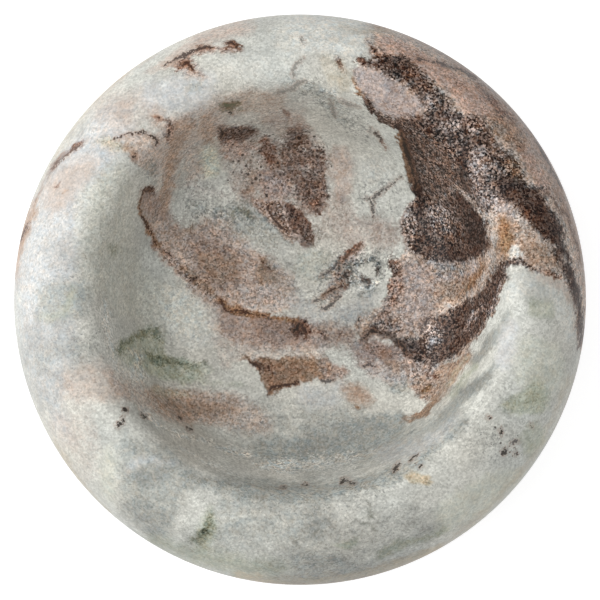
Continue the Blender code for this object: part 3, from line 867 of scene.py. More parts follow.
# The large brown part on the right, from its pale pinks to its darkest seams
BROWNS: tuple[Shape, ...] = (
    Pool(BLUSH, ((372, 34), (400, 34), (440, 50), (480, 76), (520, 116), (556, 166), (580, 214), (600, 270),
        (600, 340), (583, 352), (580, 322), (572, 296), (556, 280), (530, 270), (510, 264), (504, 284),
        (488, 320), (466, 350), (440, 362), (408, 354), (390, 338), (364, 334), (358, 320), (374, 310),
        (390, 292), (394, 268), (404, 250), (402, 226), (408, 206), (414, 196), (408, 160), (402, 136),
        (380, 118), (360, 92), (352, 76), (360, 64), (372, 58), (366, 42)), 0.97, 2.5, 0.5),
    Streak(ROSE, ((404, 36, 1), (426, 43, 4), (450, 56, 6), (480, 79, 6), (510, 110, 6), (530, 138, 5),
        (550, 170, 4), (566, 205, 4), (577, 240, 4), (583, 284, 3)), 0.85, 3, 0.4),
    Pool(SALMON, ((378, 38), (404, 42), (436, 60), (470, 82), (506, 112), (530, 146), (552, 190), (540, 190),
        (516, 150), (494, 122), (466, 112), (448, 92), (428, 76), (404, 60), (384, 54)), 0.85, 4, 0.45),
    Pool(LILAC, ((356, 68), (376, 70), (394, 80), (406, 92), (418, 98), (420, 116), (404, 122), (386, 116),
        (370, 102), (358, 84)), 0.9, 4, 0.35),
    Pool(BUFF, ((489, 113), (508, 116), (524, 134), (528, 150), (510, 146), (495, 134)), 0.62, 6, 0.65),
    Streak(RUST, ((450, 82, 1), (458, 84, 2), (466, 88, 1)), 0.6, 3, 0.8),
    Streak(RUST, ((478, 86, 2), (486, 94, 3), (496, 104, 3.6), (506, 114, 2.6), (514, 124, 1)),
        0.8, 3, 0.85),
    Streak(RUST, ((366, 41, 0.8), (371, 46, 1.8), (377, 53, 2.4), (386, 58, 3)), 0.9, 2, 0.95),
    Streak(RUST, ((354, 61, 0.8), (364, 62, 2), (374, 65, 3.5)), 0.9, 2, 0.9),
    Pool(UMBER, ((362, 61), (380, 57), (400, 56), (414, 63), (426, 74), (438, 88), (449, 102), (463, 116),
        (460, 124), (440, 116), (428, 113), (418, 98), (408, 86), (394, 80), (376, 70)), 0.85, 5, 0.95),
    Pool(BISTRE, ((374, 60), (388, 55), (402, 58), (408, 70), (402, 80), (392, 77), (380, 69)), 0.45, 4, 1),
    Pool(BISTRE, ((410, 84), (422, 82), (428, 92), (420, 98), (412, 94)), 0.4, 4, 1),
    Pool(UMBER, ((396, 121), (420, 115), (444, 110), (466, 114), (480, 118), (490, 128), (496, 142),
        (510, 154), (522, 172), (530, 194), (512, 202), (498, 206), (490, 214), (482, 212), (470, 196),
        (456, 186), (440, 198), (420, 198), (413, 180), (407, 150)), 0.92, 4, 1),
    Pool(TAUPE, ((420, 134), (440, 134), (456, 152), (456, 176), (442, 188), (426, 172)), 0.2, 6, 1),
    Streak(RUST, ((380, 62, 2), (396, 66, 4), (412, 74, 4), (428, 86, 3)), 0.4, 5, 0.95),
    Pool(LILAC, ((420, 97), (430, 95), (434, 104), (426, 110), (419, 105)), 0.5, 4, 0.7),
    Pool(LILAC, ((444, 118), (458, 115), (464, 126), (452, 132), (442, 126)), 0.4, 5, 0.8),
    Pool(LILAC, ((471, 152), (480, 149), (486, 162), (484, 184), (492, 204), (484, 212), (474, 190),
        (470, 170)), 0.5, 5, 0.6),
    Pool(ROSE, ((486, 146), (500, 148), (508, 164), (500, 178), (488, 174)), 0.25, 5, 0.8),
    Pool(BUFF, ((507, 160), (518, 162), (524, 176), (514, 181), (506, 172)), 0.72, 5, 0.85),
    Pool(RUST, ((464, 119), (478, 120), (490, 128), (496, 140), (484, 142), (470, 134)), 0.3, 4, 0.9),
    Streak(BISTRE, ((400, 127, 2), (420, 125, 3), (436, 130, 3), (450, 140, 2)), 0.5, 3, 1),
    Streak(BISTRE, ((476, 142, 1.5), (483, 140, 2.5), (490, 134, 1.5)), 0.6, 3, 0.95),
    Pool(ROSE, ((472, 124), (482, 125), (486, 133), (476, 137), (470, 131)), 0.5, 4, 0.9),
    Streak(BISTRE, ((465, 146, 3), (464, 162, 4), (463, 178, 4), (467, 194, 3)), 0.75, 3, 0.95),
    Pool(BISTRE, ((498, 180), (510, 176), (526, 182), (534, 192), (518, 200), (503, 196)), 0.75, 4, 0.95),
    Streak(BISTRE, ((397, 125, 2.8), (403, 136, 4.2), (407, 150, 5), (411, 166, 5), (415, 182, 4.8),
        (419, 197, 4)), 1, 2.2, 0.7),
    Streak(UMBER, ((362, 94, 1.5), (370, 106, 3), (380, 117, 3.5), (394, 124, 4)), 0.9, 2.5, 0.95),
    Streak(OCHRE, ((351, 78, 1), (356, 86, 2), (362, 95, 1.6)), 0.8, 2, 0.7),
    Streak(OCHRE, ((398, 134, 0.8), (402, 148, 1.2), (406, 162, 1.4), (411, 182, 1)), 0.7, 1.8, 0.5),
    Pool(UMBER, ((408, 208), (418, 197), (440, 199), (456, 189), (470, 201), (482, 213), (489, 230),
        (488, 246), (478, 258), (460, 264), (440, 265), (424, 260), (411, 250), (403, 232)), 0.95, 3, 1),
    Pool(BISTRE, ((458, 196), (470, 204), (482, 216), (489, 232), (486, 250), (474, 260), (466, 244),
        (464, 222)), 0.8, 4, 0.95),
    Pool(BISTRE, ((434, 248), (456, 246), (470, 252), (464, 263), (442, 264)), 0.7, 4, 0.95),
    Streak(BISTRE, ((420, 200, 2.5), (421, 212, 2.5), (425, 226, 2)), 0.7, 3, 0.95),
    Streak(BISTRE, ((428, 238, 1.5), (430, 248, 2.2), (427, 258, 2)), 0.85, 2, 0.9),
    Pool(LILAC, ((428, 208), (444, 205), (454, 216), (450, 230), (434, 226)), 0.4, 5, 1),
    Pool(ROSE, ((402, 214), (412, 210), (417, 226), (412, 242), (402, 230)), 0.6, 4, 0.8),
    Streak(BLUSH, ((455, 186, 1), (462, 193, 2), (469, 201, 2.2), (476, 209, 2.2), (482, 216, 1)),
        0.95, 1.8, 0.5),
    Streak(BISTRE, ((452, 188, 1), (460, 198, 2), (468, 207, 2), (476, 216, 1.5)), 0.8, 2, 0.8),
    Pool(LILAC, ((422, 264), (448, 263), (478, 264), (474, 278), (450, 282), (426, 278)), 0.85, 4, 0.6),
    Pool(ASH, ((432, 265), (452, 264), (470, 266), (462, 273), (442, 273)), 0.55, 4, 0.6),
    Pool(ROSE, ((402, 262), (424, 264), (440, 276), (440, 300), (436, 318), (424, 334), (402, 336),
        (386, 326), (372, 318), (386, 306), (394, 280)), 0.85, 4, 0.55),
    Pool(LILAC, ((404, 266), (420, 268), (430, 286), (424, 322), (406, 326), (402, 298)), 0.6, 7, 0.45),
    Pool(RUST, ((388, 258), (398, 258), (402, 276), (398, 300), (390, 310), (380, 318), (386, 296),
        (390, 276)), 0.6, 4, 0.95),
    Pool(BUFF, ((438, 284), (460, 278), (476, 280), (468, 294), (450, 304), (438, 298)), 0.75, 5, 0.6),
    Streak(OCHRE, ((482, 262, 2), (480, 270, 3.5), (474, 280, 4), (466, 290, 2)), 0.85, 2.5, 0.7),
    Streak(BLUSH, ((486, 214, 1.5), (491, 232, 3), (494, 248, 3.5), (492, 262, 4), (487, 276, 4),
        (478, 292, 3)), 0.9, 2.5, 0.45),
    Streak(ASH, ((489, 220, 0.6), (495, 240, 1.4), (496, 258, 1.4), (489, 278, 1.2)), 0.6, 1.8, 0.4),
    Pool(LILAC, ((492, 198), (506, 202), (516, 216), (500, 218)), 0.85, 4, 0.5),
    Pool(FAWN, ((494, 214), (508, 216), (524, 228), (544, 244), (562, 260), (560, 276), (544, 270),
        (524, 262), (508, 262), (497, 266), (498, 240)), 0.8, 4, 0.55),
    Pool(OCHRE, ((498, 219), (505, 219), (512, 236), (511, 251), (504, 260), (498, 244)), 1, 4.5, 0.6),
    Pool(OCHRE, ((521, 244), (534, 242), (546, 252), (548, 264), (534, 262), (523, 254)), 0.25, 4, 0.45),
    Pool(SNOW, ((507, 257), (512, 247), (519, 246), (520, 254), (514, 260)), 0.75, 2.5, 0.3),
    Pool(UMBER, ((500, 196), (514, 190), (530, 186), (542, 194), (552, 208), (561, 224), (565, 240),
        (556, 244), (544, 239), (532, 227), (520, 212), (508, 204)), 0.97, 2.5, 0.85),
    Pool(LIVER, ((520, 202), (536, 200), (550, 214), (560, 236), (550, 238), (534, 224)), 0.45, 4, 0.9),
    Streak(RUST, ((521, 206, 0.8), (528, 213, 1.4), (538, 222, 1)), 0.7, 1.5, 0.6),
    Streak(TAUPE, ((552, 184, 1.5), (560, 199, 4), (568, 220, 3)), 0.6, 4, 0.5),
    Streak(BISTRE, ((530, 187, 1), (540, 187, 2), (549, 190, 1.6)), 0.8, 2, 0.9),
    Streak(UMBER, ((554, 240, 4), (561, 252, 6.5), (566, 266, 6), (572, 281, 5), (577, 297, 4),
        (580, 316, 3), (582, 340, 2)), 0.97, 2.5, 0.85),
    Streak(BISTRE, ((561, 238, 2), (564, 252, 2.5), (570, 268, 3), (576, 286, 2.5), (580, 306, 2),
        (581, 328, 2), (581, 348, 1)), 0.8, 2, 0.75),
    Streak(BLUSH, ((563, 256, 0.8), (564, 260, 1.6)), 0.8, 1.5, 0.4),
    Streak(UMBER, ((498, 274, 2), (504, 265, 3.5), (516, 262, 3.5), (528, 265, 2.5), (538, 270, 1)),
        0.95, 2, 0.95),
    Streak(RUST, ((538, 269, 1.5), (548, 273, 2.5), (558, 278, 2)), 0.85, 2, 0.85),
    Streak(BLUSH, ((536, 277, 1), (550, 281, 2), (562, 289, 3), (570, 302, 2)), 0.7, 3, 0.2),
    Pool(UMBER, ((396, 340), (418, 340), (428, 332), (440, 316), (456, 306), (474, 296), (488, 282),
        (498, 264), (508, 272), (501, 292), (487, 322), (471, 342), (448, 359), (424, 362), (404, 354)),
        0.95, 2.5, 0.95),
    Pool(LIVER, ((446, 322), (460, 309), (478, 298), (490, 285), (500, 275), (500, 292), (486, 318),
        (468, 338), (450, 352), (442, 346)), 0.36, 4, 0.9),
    Streak(LILAC, ((466, 328, 2), (474, 317, 3), (482, 305, 2)), 0.5, 2.5, 0.95),
    Streak(LILAC, ((486, 316, 1), (492, 306, 1.4), (498, 294, 1.4), (501, 284, 1)), 0.5, 1.8, 0.8),
    Pool(LILAC, ((424, 332), (430, 321), (440, 322), (440, 340), (428, 350)), 0.7, 4, 0.8),
    Pool(SLATE, ((398, 338), (404, 336), (418, 338), (418, 348), (408, 348), (406, 356), (401, 348)),
        0.55, 2.5, 0.85),
    Pool(UMBER, ((370, 322), (386, 316), (398, 326), (402, 337), (384, 334)), 0.6, 4, 0.95),
    Streak(SOOT, ((359, 339, 1.5), (365, 335, 3), (374, 332, 3.2), (384, 333, 2.2), (396, 339, 2.6),
        (403, 349, 2.2)), 0.85, 1.8, 0.65),
    Streak(BISTRE, ((366, 332, 2), (373, 330, 3.2), (381, 331, 2.4), (389, 332, 2)), 0.9, 2, 0.9),
    Pool(FAWN, ((354, 324), (362, 318), (368, 328), (360, 334)), 0.8, 3, 0.7),
    Streak(RUST, ((426, 373, 1.2), (433, 376, 2.2), (439, 379, 1.6)), 0.9, 1.8, 0.8),
    Streak(OCHRE, ((425, 390, 1.8), (429, 389, 2.2)), 0.9, 1.8, 0.7),
    Streak(BISTRE, ((428, 370, 1.2), (434, 363, 2), (441, 359, 1.6)), 0.9, 2, 0.9),
    Streak(PEARL, ((433, 369, 1), (438, 366, 2)), 0.7, 2, 0.3),
)

# Brown and rust on the floor of the hollow
FLOOR_BROWNS: tuple[Shape, ...] = (
    Pool(ROSE, ((218, 128), (240, 124), (262, 130), (284, 130), (304, 124), (322, 136), (327, 154),
        (328, 182), (325, 210), (312, 214), (290, 208), (266, 206), (244, 200), (230, 188), (220, 160)),
        0.45, 5, 0.5),
    Pool(TAUPE, ((258, 142), (276, 140), (300, 140), (320, 142), (326, 156), (327, 184), (323, 212),
        (310, 210), (292, 198), (274, 196), (262, 180)), 0.36, 6, 0.75),
    Pool(UMBER, ((284, 147), (300, 143), (318, 144), (326, 157), (327, 182), (323, 212), (312, 208),
        (298, 190), (286, 174)), 0.28, 4, 0.85),
    Pool(UMBER, ((300, 184), (320, 180), (327, 190), (322, 208), (306, 200)), 0.36, 5, 1),
    Pool(UMBER, ((218, 127), (232, 128), (250, 123), (258, 130), (252, 138), (236, 142), (222, 142)),
        0.64, 4.5, 0.9),
    Pool(SALMON, ((222, 141), (244, 142), (258, 148), (240, 158), (226, 158)), 0.4, 5, 0.6),
    Pool(RUST, ((262, 138), (270, 140), (276, 152), (272, 166), (265, 160)), 0.45, 3, 0.8),
    Pool(LILAC, ((262, 176), (278, 174), (288, 190), (276, 198), (264, 192)), 0.5, 5, 0.6),
    Streak(BUFF, ((250, 160, 3), (252, 176, 5), (250, 192, 4)), 0.35, 5, 0.6),
    Pool(UMBER, ((286, 133), (298, 127), (308, 138), (298, 146), (288, 142)), 0.4, 4, 0.9),
    Pool(ROSE, ((252, 202), (274, 200), (292, 208), (304, 240), (292, 242), (272, 224)), 0.85, 4, 0.7),
    Streak(TAUPE, ((268, 206, 3), (280, 216, 5), (292, 232, 4)), 0.6, 4, 0.85),
    Streak(RUST, ((288, 206, 4), (298, 220, 8), (306, 234, 7), (306, 246, 3)), 0.8, 3, 0.6),
    Pool(LIVER, ((285, 205), (293, 206), (302, 216), (311, 229), (314, 239), (306, 242), (298, 231),
        (289, 218)), 0.78, 2.4, 0.95),
    Streak(RUST, ((311, 201, 2), (317, 207, 3), (319, 214, 1.6)), 0.85, 2, 0.9),
    Streak(OCHRE, ((141, 196, 0.8), (140, 206, 1.2), (142, 216, 1.4), (148, 230, 1.8), (157, 244, 2),
        (166, 254, 1.2)), 0.8, 2, 0.55),
    Streak(UMBER, ((142, 191, 1.5), (147, 189, 3.4), (152, 192, 1.5)), 0.9, 2, 0.9),
    Streak(BUFF, ((176, 264, 2), (190, 275, 3.5), (203, 286, 5), (214, 298, 4)), 0.8, 3, 0.6),
    Streak(BISTRE, ((190, 278, 1.2), (195, 279, 1.6)), 0.95, 1.4, 0.8),
    Streak(OCHRE, ((219, 300, 2.2), (226, 307, 3.4), (238, 311, 3.8), (252, 314, 3.4), (268, 317, 2.4),
        (286, 320, 2), (298, 321, 1.6)), 0.92, 2, 0.65),
    Streak(RUST, ((261, 262, 1), (266, 267, 2), (270, 272, 1)), 0.7, 2, 0.9),
    Pool(BUFF, ((240, 356), (256, 358), (276, 358), (300, 356), (324, 357), (332, 364), (342, 371),
        (322, 378), (304, 384), (288, 388), (273, 395), (265, 390), (262, 380), (257, 371), (249, 364)),
        0.84, 2.5, 0.55),
    Pool(RUST, ((250, 359), (264, 360), (290, 362), (308, 366), (300, 376), (284, 382), (272, 388),
        (264, 376), (258, 369)), 0.28, 4, 0.6),
    Streak(UMBER, ((246, 359, 1), (254, 364, 2), (262, 369, 2.6), (272, 371, 3)), 0.8, 2, 0.9),
    Streak(UMBER, ((268, 393, 2), (276, 388, 2), (288, 386, 1.6), (302, 382, 1)), 0.8, 1.8, 0.9),
    Pool(ROSE, ((322, 358), (336, 364), (350, 370), (342, 380), (324, 378)), 0.7, 4, 0.6),
    Pool(LIVER, ((290, 330), (297, 322), (304, 321), (307, 329), (301, 337), (293, 335)), 0.97, 2.5, 0.75),
    Streak(RUST, ((304, 322, 2.5), (309, 329, 3), (306, 338, 2)), 0.8, 2.5, 0.9),
    Streak(RUST, ((316, 331, 1.8), (323, 335, 3), (328, 339, 1.4)), 0.85, 2, 0.95),
    Streak(RUST, ((337, 331, 1.5), (342, 335, 2), (344, 340, 1)), 0.65, 2, 0.95),
    Pool(ROSE, ((332, 268), (346, 255), (362, 247), (360, 257), (352, 268), (340, 296), (322, 302),
        (328, 284)), 0.65, 4, 0.8),
    Streak(RUST, ((362, 243, 1), (353, 250, 1.8), (345, 258, 2.6), (341, 268, 3), (340, 278, 3),
        (345, 287, 2)), 0.85, 2, 0.95),
    Streak(BUFF, ((321, 297, 2), (331, 291, 3), (343, 285, 2)), 0.7, 2.5, 0.7),
    Streak(ASH, ((352, 266, 1.5), (362, 261, 2), (374, 266, 2), (379, 279, 2), (373, 291, 2),
        (360, 296, 1.5)), 0.55, 2.5, 0.7),
    Streak(BISTRE, ((350, 268, 1.6), (347, 275, 3), (350, 283, 1.8)), 0.95, 2, 0.9),
    Streak(ASH, ((350, 267, 2), (358, 263, 3), (368, 260, 3), (378, 264, 3), (380, 272, 2)), 0.8, 3, 0.9),
    Streak(SMOKE, ((318, 279, 2), (328, 274, 4), (338, 264, 3)), 0.8, 3, 0.7),
    Pool(ASH, ((342, 268), (352, 265), (358, 271), (355, 284), (345, 285)), 0.6, 4, 0.7),
    Streak(SNOW, ((355, 272, 1.4), (359, 278, 2.2), (359, 285, 2.6), (366, 288, 3), (374, 282, 3)),
        0.9, 2.5, 0.6),
    Streak(UMBER, ((360, 274, 1.4), (366, 280, 3), (370, 284, 2)), 0.85, 2, 0.9),
    Streak(BISTRE, ((375, 263, 1), (379, 268, 2), (376, 272, 1)), 0.8, 1.8, 0.9),
    Streak(UMBER, ((391, 262, 1.5), (396, 268, 3.4), (400, 273, 1.6)), 0.85, 2, 1),
    Streak(TAUPE, ((338, 57, 1.8), (340, 64, 3), (341, 69, 1.8)), 0.85, 2.5, 0.9),
    Streak(RUST, ((198, 48, 1.6), (206, 47, 2), (214, 47, 1.2)), 0.75, 2.5, 0.95),
    Streak(RUST, ((226, 46, 1.6), (234, 44, 2.4), (239, 47, 1.4)), 0.8, 2, 0.95),
    Streak(RUST, ((176, 71, 1.4), (183, 64, 2), (190, 66, 2.8), (196, 72, 2)), 0.8, 2.5, 0.95),
    Streak(RUST, ((72, 151, 1.5), (79, 146, 2.4), (84, 141, 1.8)), 0.85, 2, 0.8),
    Streak(RUST, ((57, 187, 1.2), (60, 183, 2)), 0.8, 1.8, 0.6),
    Streak(FAWN, ((62, 193, 1), (66, 190, 1.6), (69, 189, 1)), 0.85, 1.6, 0.4),
)

# Painted shade and painted highlight over all the drawn colours: thin veils of grey and brown that
# darken them in broad soft patches as painted shade, and one white veil on the top rim, a painted highlight
PAINTED_SHADE_AND_LIGHT: tuple[Shape, ...] = (
    Pool(ASH, ((296, 540), (340, 504), (400, 498), (430, 508), (438, 536), (400, 574), (350, 588),
        (290, 590), (262, 566)), 0.4, 10, 0.26),
    Pool(ASH, ((288, 236), (320, 232), (352, 266), (376, 296), (366, 340), (350, 356), (326, 350),
        (310, 322), (288, 300), (264, 280), (266, 254)), 0.3, 9, 0.4),
    Pool(UMBER, ((446, 250), (486, 236), (508, 258), (500, 290), (478, 298), (452, 298), (438, 280)),
        0.3, 7, 0.65),
    Pool(TAUPE, ((292, 206), (324, 206), (326, 240), (296, 238)), 0.35, 8, 0.6),
    Pool(UMBER, ((446, 182), (476, 178), (484, 206), (458, 210)), 0.4, 6, 0.9),
    Pool(ASH, ((508, 270), (540, 272), (550, 298), (520, 302)), 0.28, 8, 0.2),
    Pool(ASH, ((440, 384), (486, 380), (512, 396), (512, 440), (470, 452), (440, 430)), 0.27, 10, 0.26),
    Pool(ASH, ((320, 418), (360, 412), (410, 416), (422, 446), (360, 472), (300, 480), (290, 450)),
        0.3, 10, 0.3),
    Pool(ASH, ((24, 330), (60, 322), (92, 340), (84, 370), (66, 388), (56, 416), (36, 412), (18, 370)),
        0.26, 10, 0.2),
    Pool(ASH, ((44, 244), (86, 240), (92, 264), (60, 272)), 0.2, 10, 0.22),
    Pool(TAUPE, ((384, 84), (410, 84), (428, 98), (420, 118), (392, 116)), 0.3, 6, 0.5),
    Pool(ASH, ((108, 504), (140, 500), (176, 512), (204, 540), (180, 558), (140, 538)), 0.25, 10, 0.25),
    Pool(TAUPE, ((234, 176), (268, 178), (268, 210), (238, 210)), 0.2, 8, 0.5),
    Pool(TAUPE, ((334, 330), (362, 326), (392, 330), (388, 362), (340, 364)), 0.24, 8, 0.5),
    Pool(UMBER, ((444, 322), (484, 318), (490, 350), (470, 366), (442, 368)), 0.2, 8, 0.6),
    Pool(ASH, ((356, 148), (404, 150), (410, 206), (380, 212), (354, 180)), 0.2, 8, 0.3),
    Pool(SNOW, ((272, 26), (330, 20), (366, 26), (368, 44), (330, 54), (276, 50)), 0.45, 8, 0.22),
)

# Hairlines: dark cracks, rust seams and black specks, by their mineral and how strongly they show
HAIRLINES: tuple[tuple[Mineral, float, tuple], ...] = (
    (BISTRE, 0.86, (((164, 65, 0.2), (172, 62, 0.6), (178, 58, 1.1), (188, 54, 1.2), (198, 49, 1.2),
        (206, 47, 1.2), (214, 47, 0.2)), ((226, 45, 0.6), (231, 43, 1.1), (237, 46, 0.5)), ((114, 139, 0.2),
        (119, 137, 0.6), (124, 135, 0), (128, 133, 0.5), (134, 133, 0.4), (142, 132, 0.8), (150, 135, 0.7),
        (156, 139, 1.1), (157, 146, 0.4)), ((158, 119, 1), (161, 119, 1.2)), ((133, 155, 1),
        (134, 157, 1.2)), ((165, 250, 0.5), (171, 256, 0.8)), ((302, 327, 0.9), (306, 332, 0.6)),
        ((266, 206, 0.4), (273, 217, 0.9), (281, 227, 1.1), (287, 233, 0.6)), ((376, 131, 0.8),
        (379, 137, 1.2), (382, 142, 0.8)), ((323, 296, 0.6), (330, 291, 1), (342, 287, 1.1)),
        ((248, 361, 0.4), (254, 365, 1.8), (259, 368, 0.6)), ((270, 391, 1.4), (276, 387, 0.8),
        (290, 385, 0.9), (298, 383, 0.5)),)),
    (LIVER, 0.88, (((30, 222, 0.6), (8, 262, 1.2), (-14, 310, 0.8), (-30, 350, 1.4), (-36, 400, 0.4)),
        ((600, 330, 0.8), (640, 290, 1.4), (662, 230, 1.2), (660, 160, 0.8)), ((182, 66, 0.4),
        (187, 63, 1.1), (191, 66, 1.3), (194, 71, 0.6)), ((152, 189, 0.6), (147, 187, 0.9), (142, 192, 0.3),
        (140, 203, -0.1), (141, 213, 0.4), (145, 222, 1.2), (149, 230, 0.7), (153, 238, 0.3), (157, 246, 0)),
        ((219, 299, 0.7), (222, 305, 1.8), (227, 310, 0.8), (238, 312, 0.5), (246, 312, 0.8),
        (256, 315, 0.2), (268, 317, -0.2)),)),
    (UMBER, 0.74, (((52, 169, 0.4), (60, 160, 0.9), (70, 152, 1), (78, 146, 0.6)), ((546, 192, 0.4),
        (554, 200, 0.8), (562, 214, 0.5)), ((566, 212, 0.4), (574, 236, 0.7), (580, 262, 0.5)),
        ((363, 243, 0.6), (358, 248, 0.8), (351, 253, 0.8), (345, 258, 0.9)),)),
    (SLATE, 0.76, (((266, 317, 0.4), (270, 319, 1)), ((418, 59, 1.6), (424, 60, 0.9), (432, 62, 0.5),
        (442, 64, 1.2), (448, 66, 1.2), (458, 69, 0.9), (470, 75, 0.8), (477, 79, 0.5)), ((528, 128, 0.3),
        (536, 140, 0.7), (542, 152, 1), (552, 170, 0.7), (562, 190, 0.5)), ((364, 198, 0.2), (372, 198, 0),
        (378, 195, 0.9), (386, 188, 0.9), (392, 184, 0.2), (402, 177, -0.1)), ((371, 200, -0.1),
        (373, 210, 0.4), (373, 217, 0.4)), ((321, 276, 0.9), (327, 273, 0.9), (333, 268, 0.9),
        (338, 263, 0.5)), ((312, 302, 0.7), (318, 300, 1.1)), ((321, 309, 0.6), (330, 306, 0.9),
        (336, 301, 1), (340, 295, 0.7)), ((421, 334, 0.6), (423, 326, 1), (429, 318, 1), (436, 320, 0.9),
        (440, 326, 0.4)), ((320, 380, 0.6), (327, 381, 1.1), (334, 380, 0.6)), ((364, 367, 0.4),
        (370, 364, 0.7), (376, 368, 0.5)), ((281, 488, 0.6), (285, 487, 1)), ((512, 443, 1.2),
        (517, 442, 1.4)), ((531, 425, 1), (532, 427, 1)),)),
    (SOOT, 0.89, (((294, 331, 1.6), (297, 329, 2), (300, 324, 0.9)), ((220, 128, 0.8), (222, 133, 0.9),
        (221, 138, 0.6)), ((298, 138, 1.2), (300, 138, 1.4)), ((277, 163, 1.4), (278, 165, 1.4)),
        ((266, 194, 0.9), (267, 196, 0.7)), ((230, 112, 0.7), (232, 113, 0.8)), ((401, 132, 0.6),
        (406, 148, 1.6), (409, 158, 1.4), (413, 174, 0.6), (416, 188, 1.2)), ((349, 272, 1), (346, 276, 1.6),
        (348, 281, 0.7)), ((400, 342, 1), (403, 349, 1.4), (405, 355, 0.7)), ((360, 340, 1.2), (366, 336, 1),
        (371, 332, 1.8), (378, 332, 1)), ((359, 318, 0.8), (360, 321, 0.6)), ((124, 409, 2),
        (126, 411, 1.8)), ((117, 428, 0.7), (118, 425, 1.5), (122, 424, 0.6), (124, 420, 1)),
        ((142, 412, 0.6), (144, 416, 1.6), (146, 418, 0.6)), ((178, 416, 0.8), (182, 418, 0.9)),
        ((187, 427, 0.7), (190, 429, 1.6), (192, 430, 0.8)), ((341, 483, 1.2), (344, 480, 1.3),
        (348, 479, 0.5)), ((347, 482, 0.6), (352, 483, 0.9), (355, 482, 0.5)), ((303, 485, 0.7),
        (308, 485, 0.9)), ((394, 471, 0.9), (396, 468, 1.3), (399, 463, 0.4)), ((410, 461, 0.5),
        (413, 458, 0.3), (415, 455, 0.9), (418, 453, 0.4)), ((420, 467, 0.9), (421, 465, 1)),
        ((487, 417, 0.6), (490, 416, 0.9)), ((501, 429, 1.2), (500, 434, 1)), ((504, 448, 1),
        (503, 453, 1.6), (505, 450, 1)), ((515, 454, 0.8), (517, 454, 0.8)), ((520, 146, 0.9),
        (521, 149, 1.1)),)),
    (MOSS, 0.9, (((224, 104, 0.5), (230, 106, 1), (236, 104, 0.6)),)),
    (RUST, 0.6, (((382, 140, 0.6), (386, 149, 0.6)),)),
    # The last ash hairline, just under the white line on the top inner lip, is a painted shadow
    (ASH, 0.71, (((369, 128, 0.8), (371, 133, 0.8)), ((300, 38, 0.5), (303, 41, 1.3), (304, 44, 0.6)),
        ((303, 57, 0.6), (298, 63, 0.9), (294, 70, 1), (293, 76, 1)), ((278, 93, 0.6), (284, 91, 0.9),
        (289, 88, 0.6)), ((292, 90, 0.6), (298, 84, 0.9), (306, 81, 0.5)), ((330, 100, 0.6), (333, 108, 0.9),
        (336, 116, 0.5)), ((340, 100, 0.5), (348, 104, 0.8), (360, 107, 0.4)),)),
)

# Where specks, threads of graphite and loose white grains are scattered
SCATTERS: tuple[Shape, ...] = (
    Pool(PEPPER, ((282, 142), (304, 134), (322, 146), (328, 176), (320, 202), (300, 204), (284, 188),
        (272, 170)), 1, 6),
    Pool(PEPPER, ((230, 130), (262, 130), (278, 150), (262, 190), (236, 180), (226, 150)), 0.5, 8),
    Pool(PEPPER, ((488, 436), (500, 424), (520, 440), (518, 462), (496, 460)), 0.35, 8),
    Pool(GRAPHITE, ((284, 84), (310, 74), (352, 100), (376, 128), (364, 146), (336, 128), (304, 104)),
        0.8, 8),
    Pool(GRAPHITE, ((360, 184), (394, 176), (404, 196), (392, 216), (366, 216), (356, 200)), 0.8, 7),
    Pool(GRAPHITE, ((318, 262), (348, 250), (388, 244), (392, 276), (352, 296), (318, 310)), 0.9, 8),
    Pool(GRAPHITE, ((184, 200), (226, 196), (256, 206), (288, 232), (252, 236), (200, 238)), 0.8, 8),
    Pool(GRAPHITE, ((56, 258), (80, 262), (84, 284), (62, 282)), 0.6, 8),
    Pool(GRAPHITE, ((60, 336), (84, 322), (108, 334), (104, 360), (76, 362)), 0.6, 8),
    Pool(GRAPHITE, ((144, 162), (158, 160), (156, 188), (146, 186)), 0.8, 4),
    Pool(GRAPHITE, ((320, 494), (352, 484), (398, 474), (398, 494), (350, 514), (322, 512)), 0.5, 8),
    Pool(GRAPHITE, ((460, 436), (500, 420), (520, 444), (506, 466), (470, 460)), 0.6, 8),
    Pool(SUGAR, ((250, 458), (300, 458), (350, 452), (356, 466), (300, 476), (246, 476)), 1, 5),
    Pool(SUGAR, ((226, 444), (244, 448), (256, 462), (236, 460)), 0.8, 5),
    Pool(SUGAR, ((98, 310), (112, 312), (122, 350), (140, 376), (126, 384), (108, 360)), 0.9, 5),
    Pool(SUGAR, ((128, 384), (146, 388), (168, 424), (152, 426), (134, 406)), 0.8, 5),
    Pool(SUGAR, ((344, 270), (360, 270), (362, 292), (348, 290)), 0.9, 4),
)


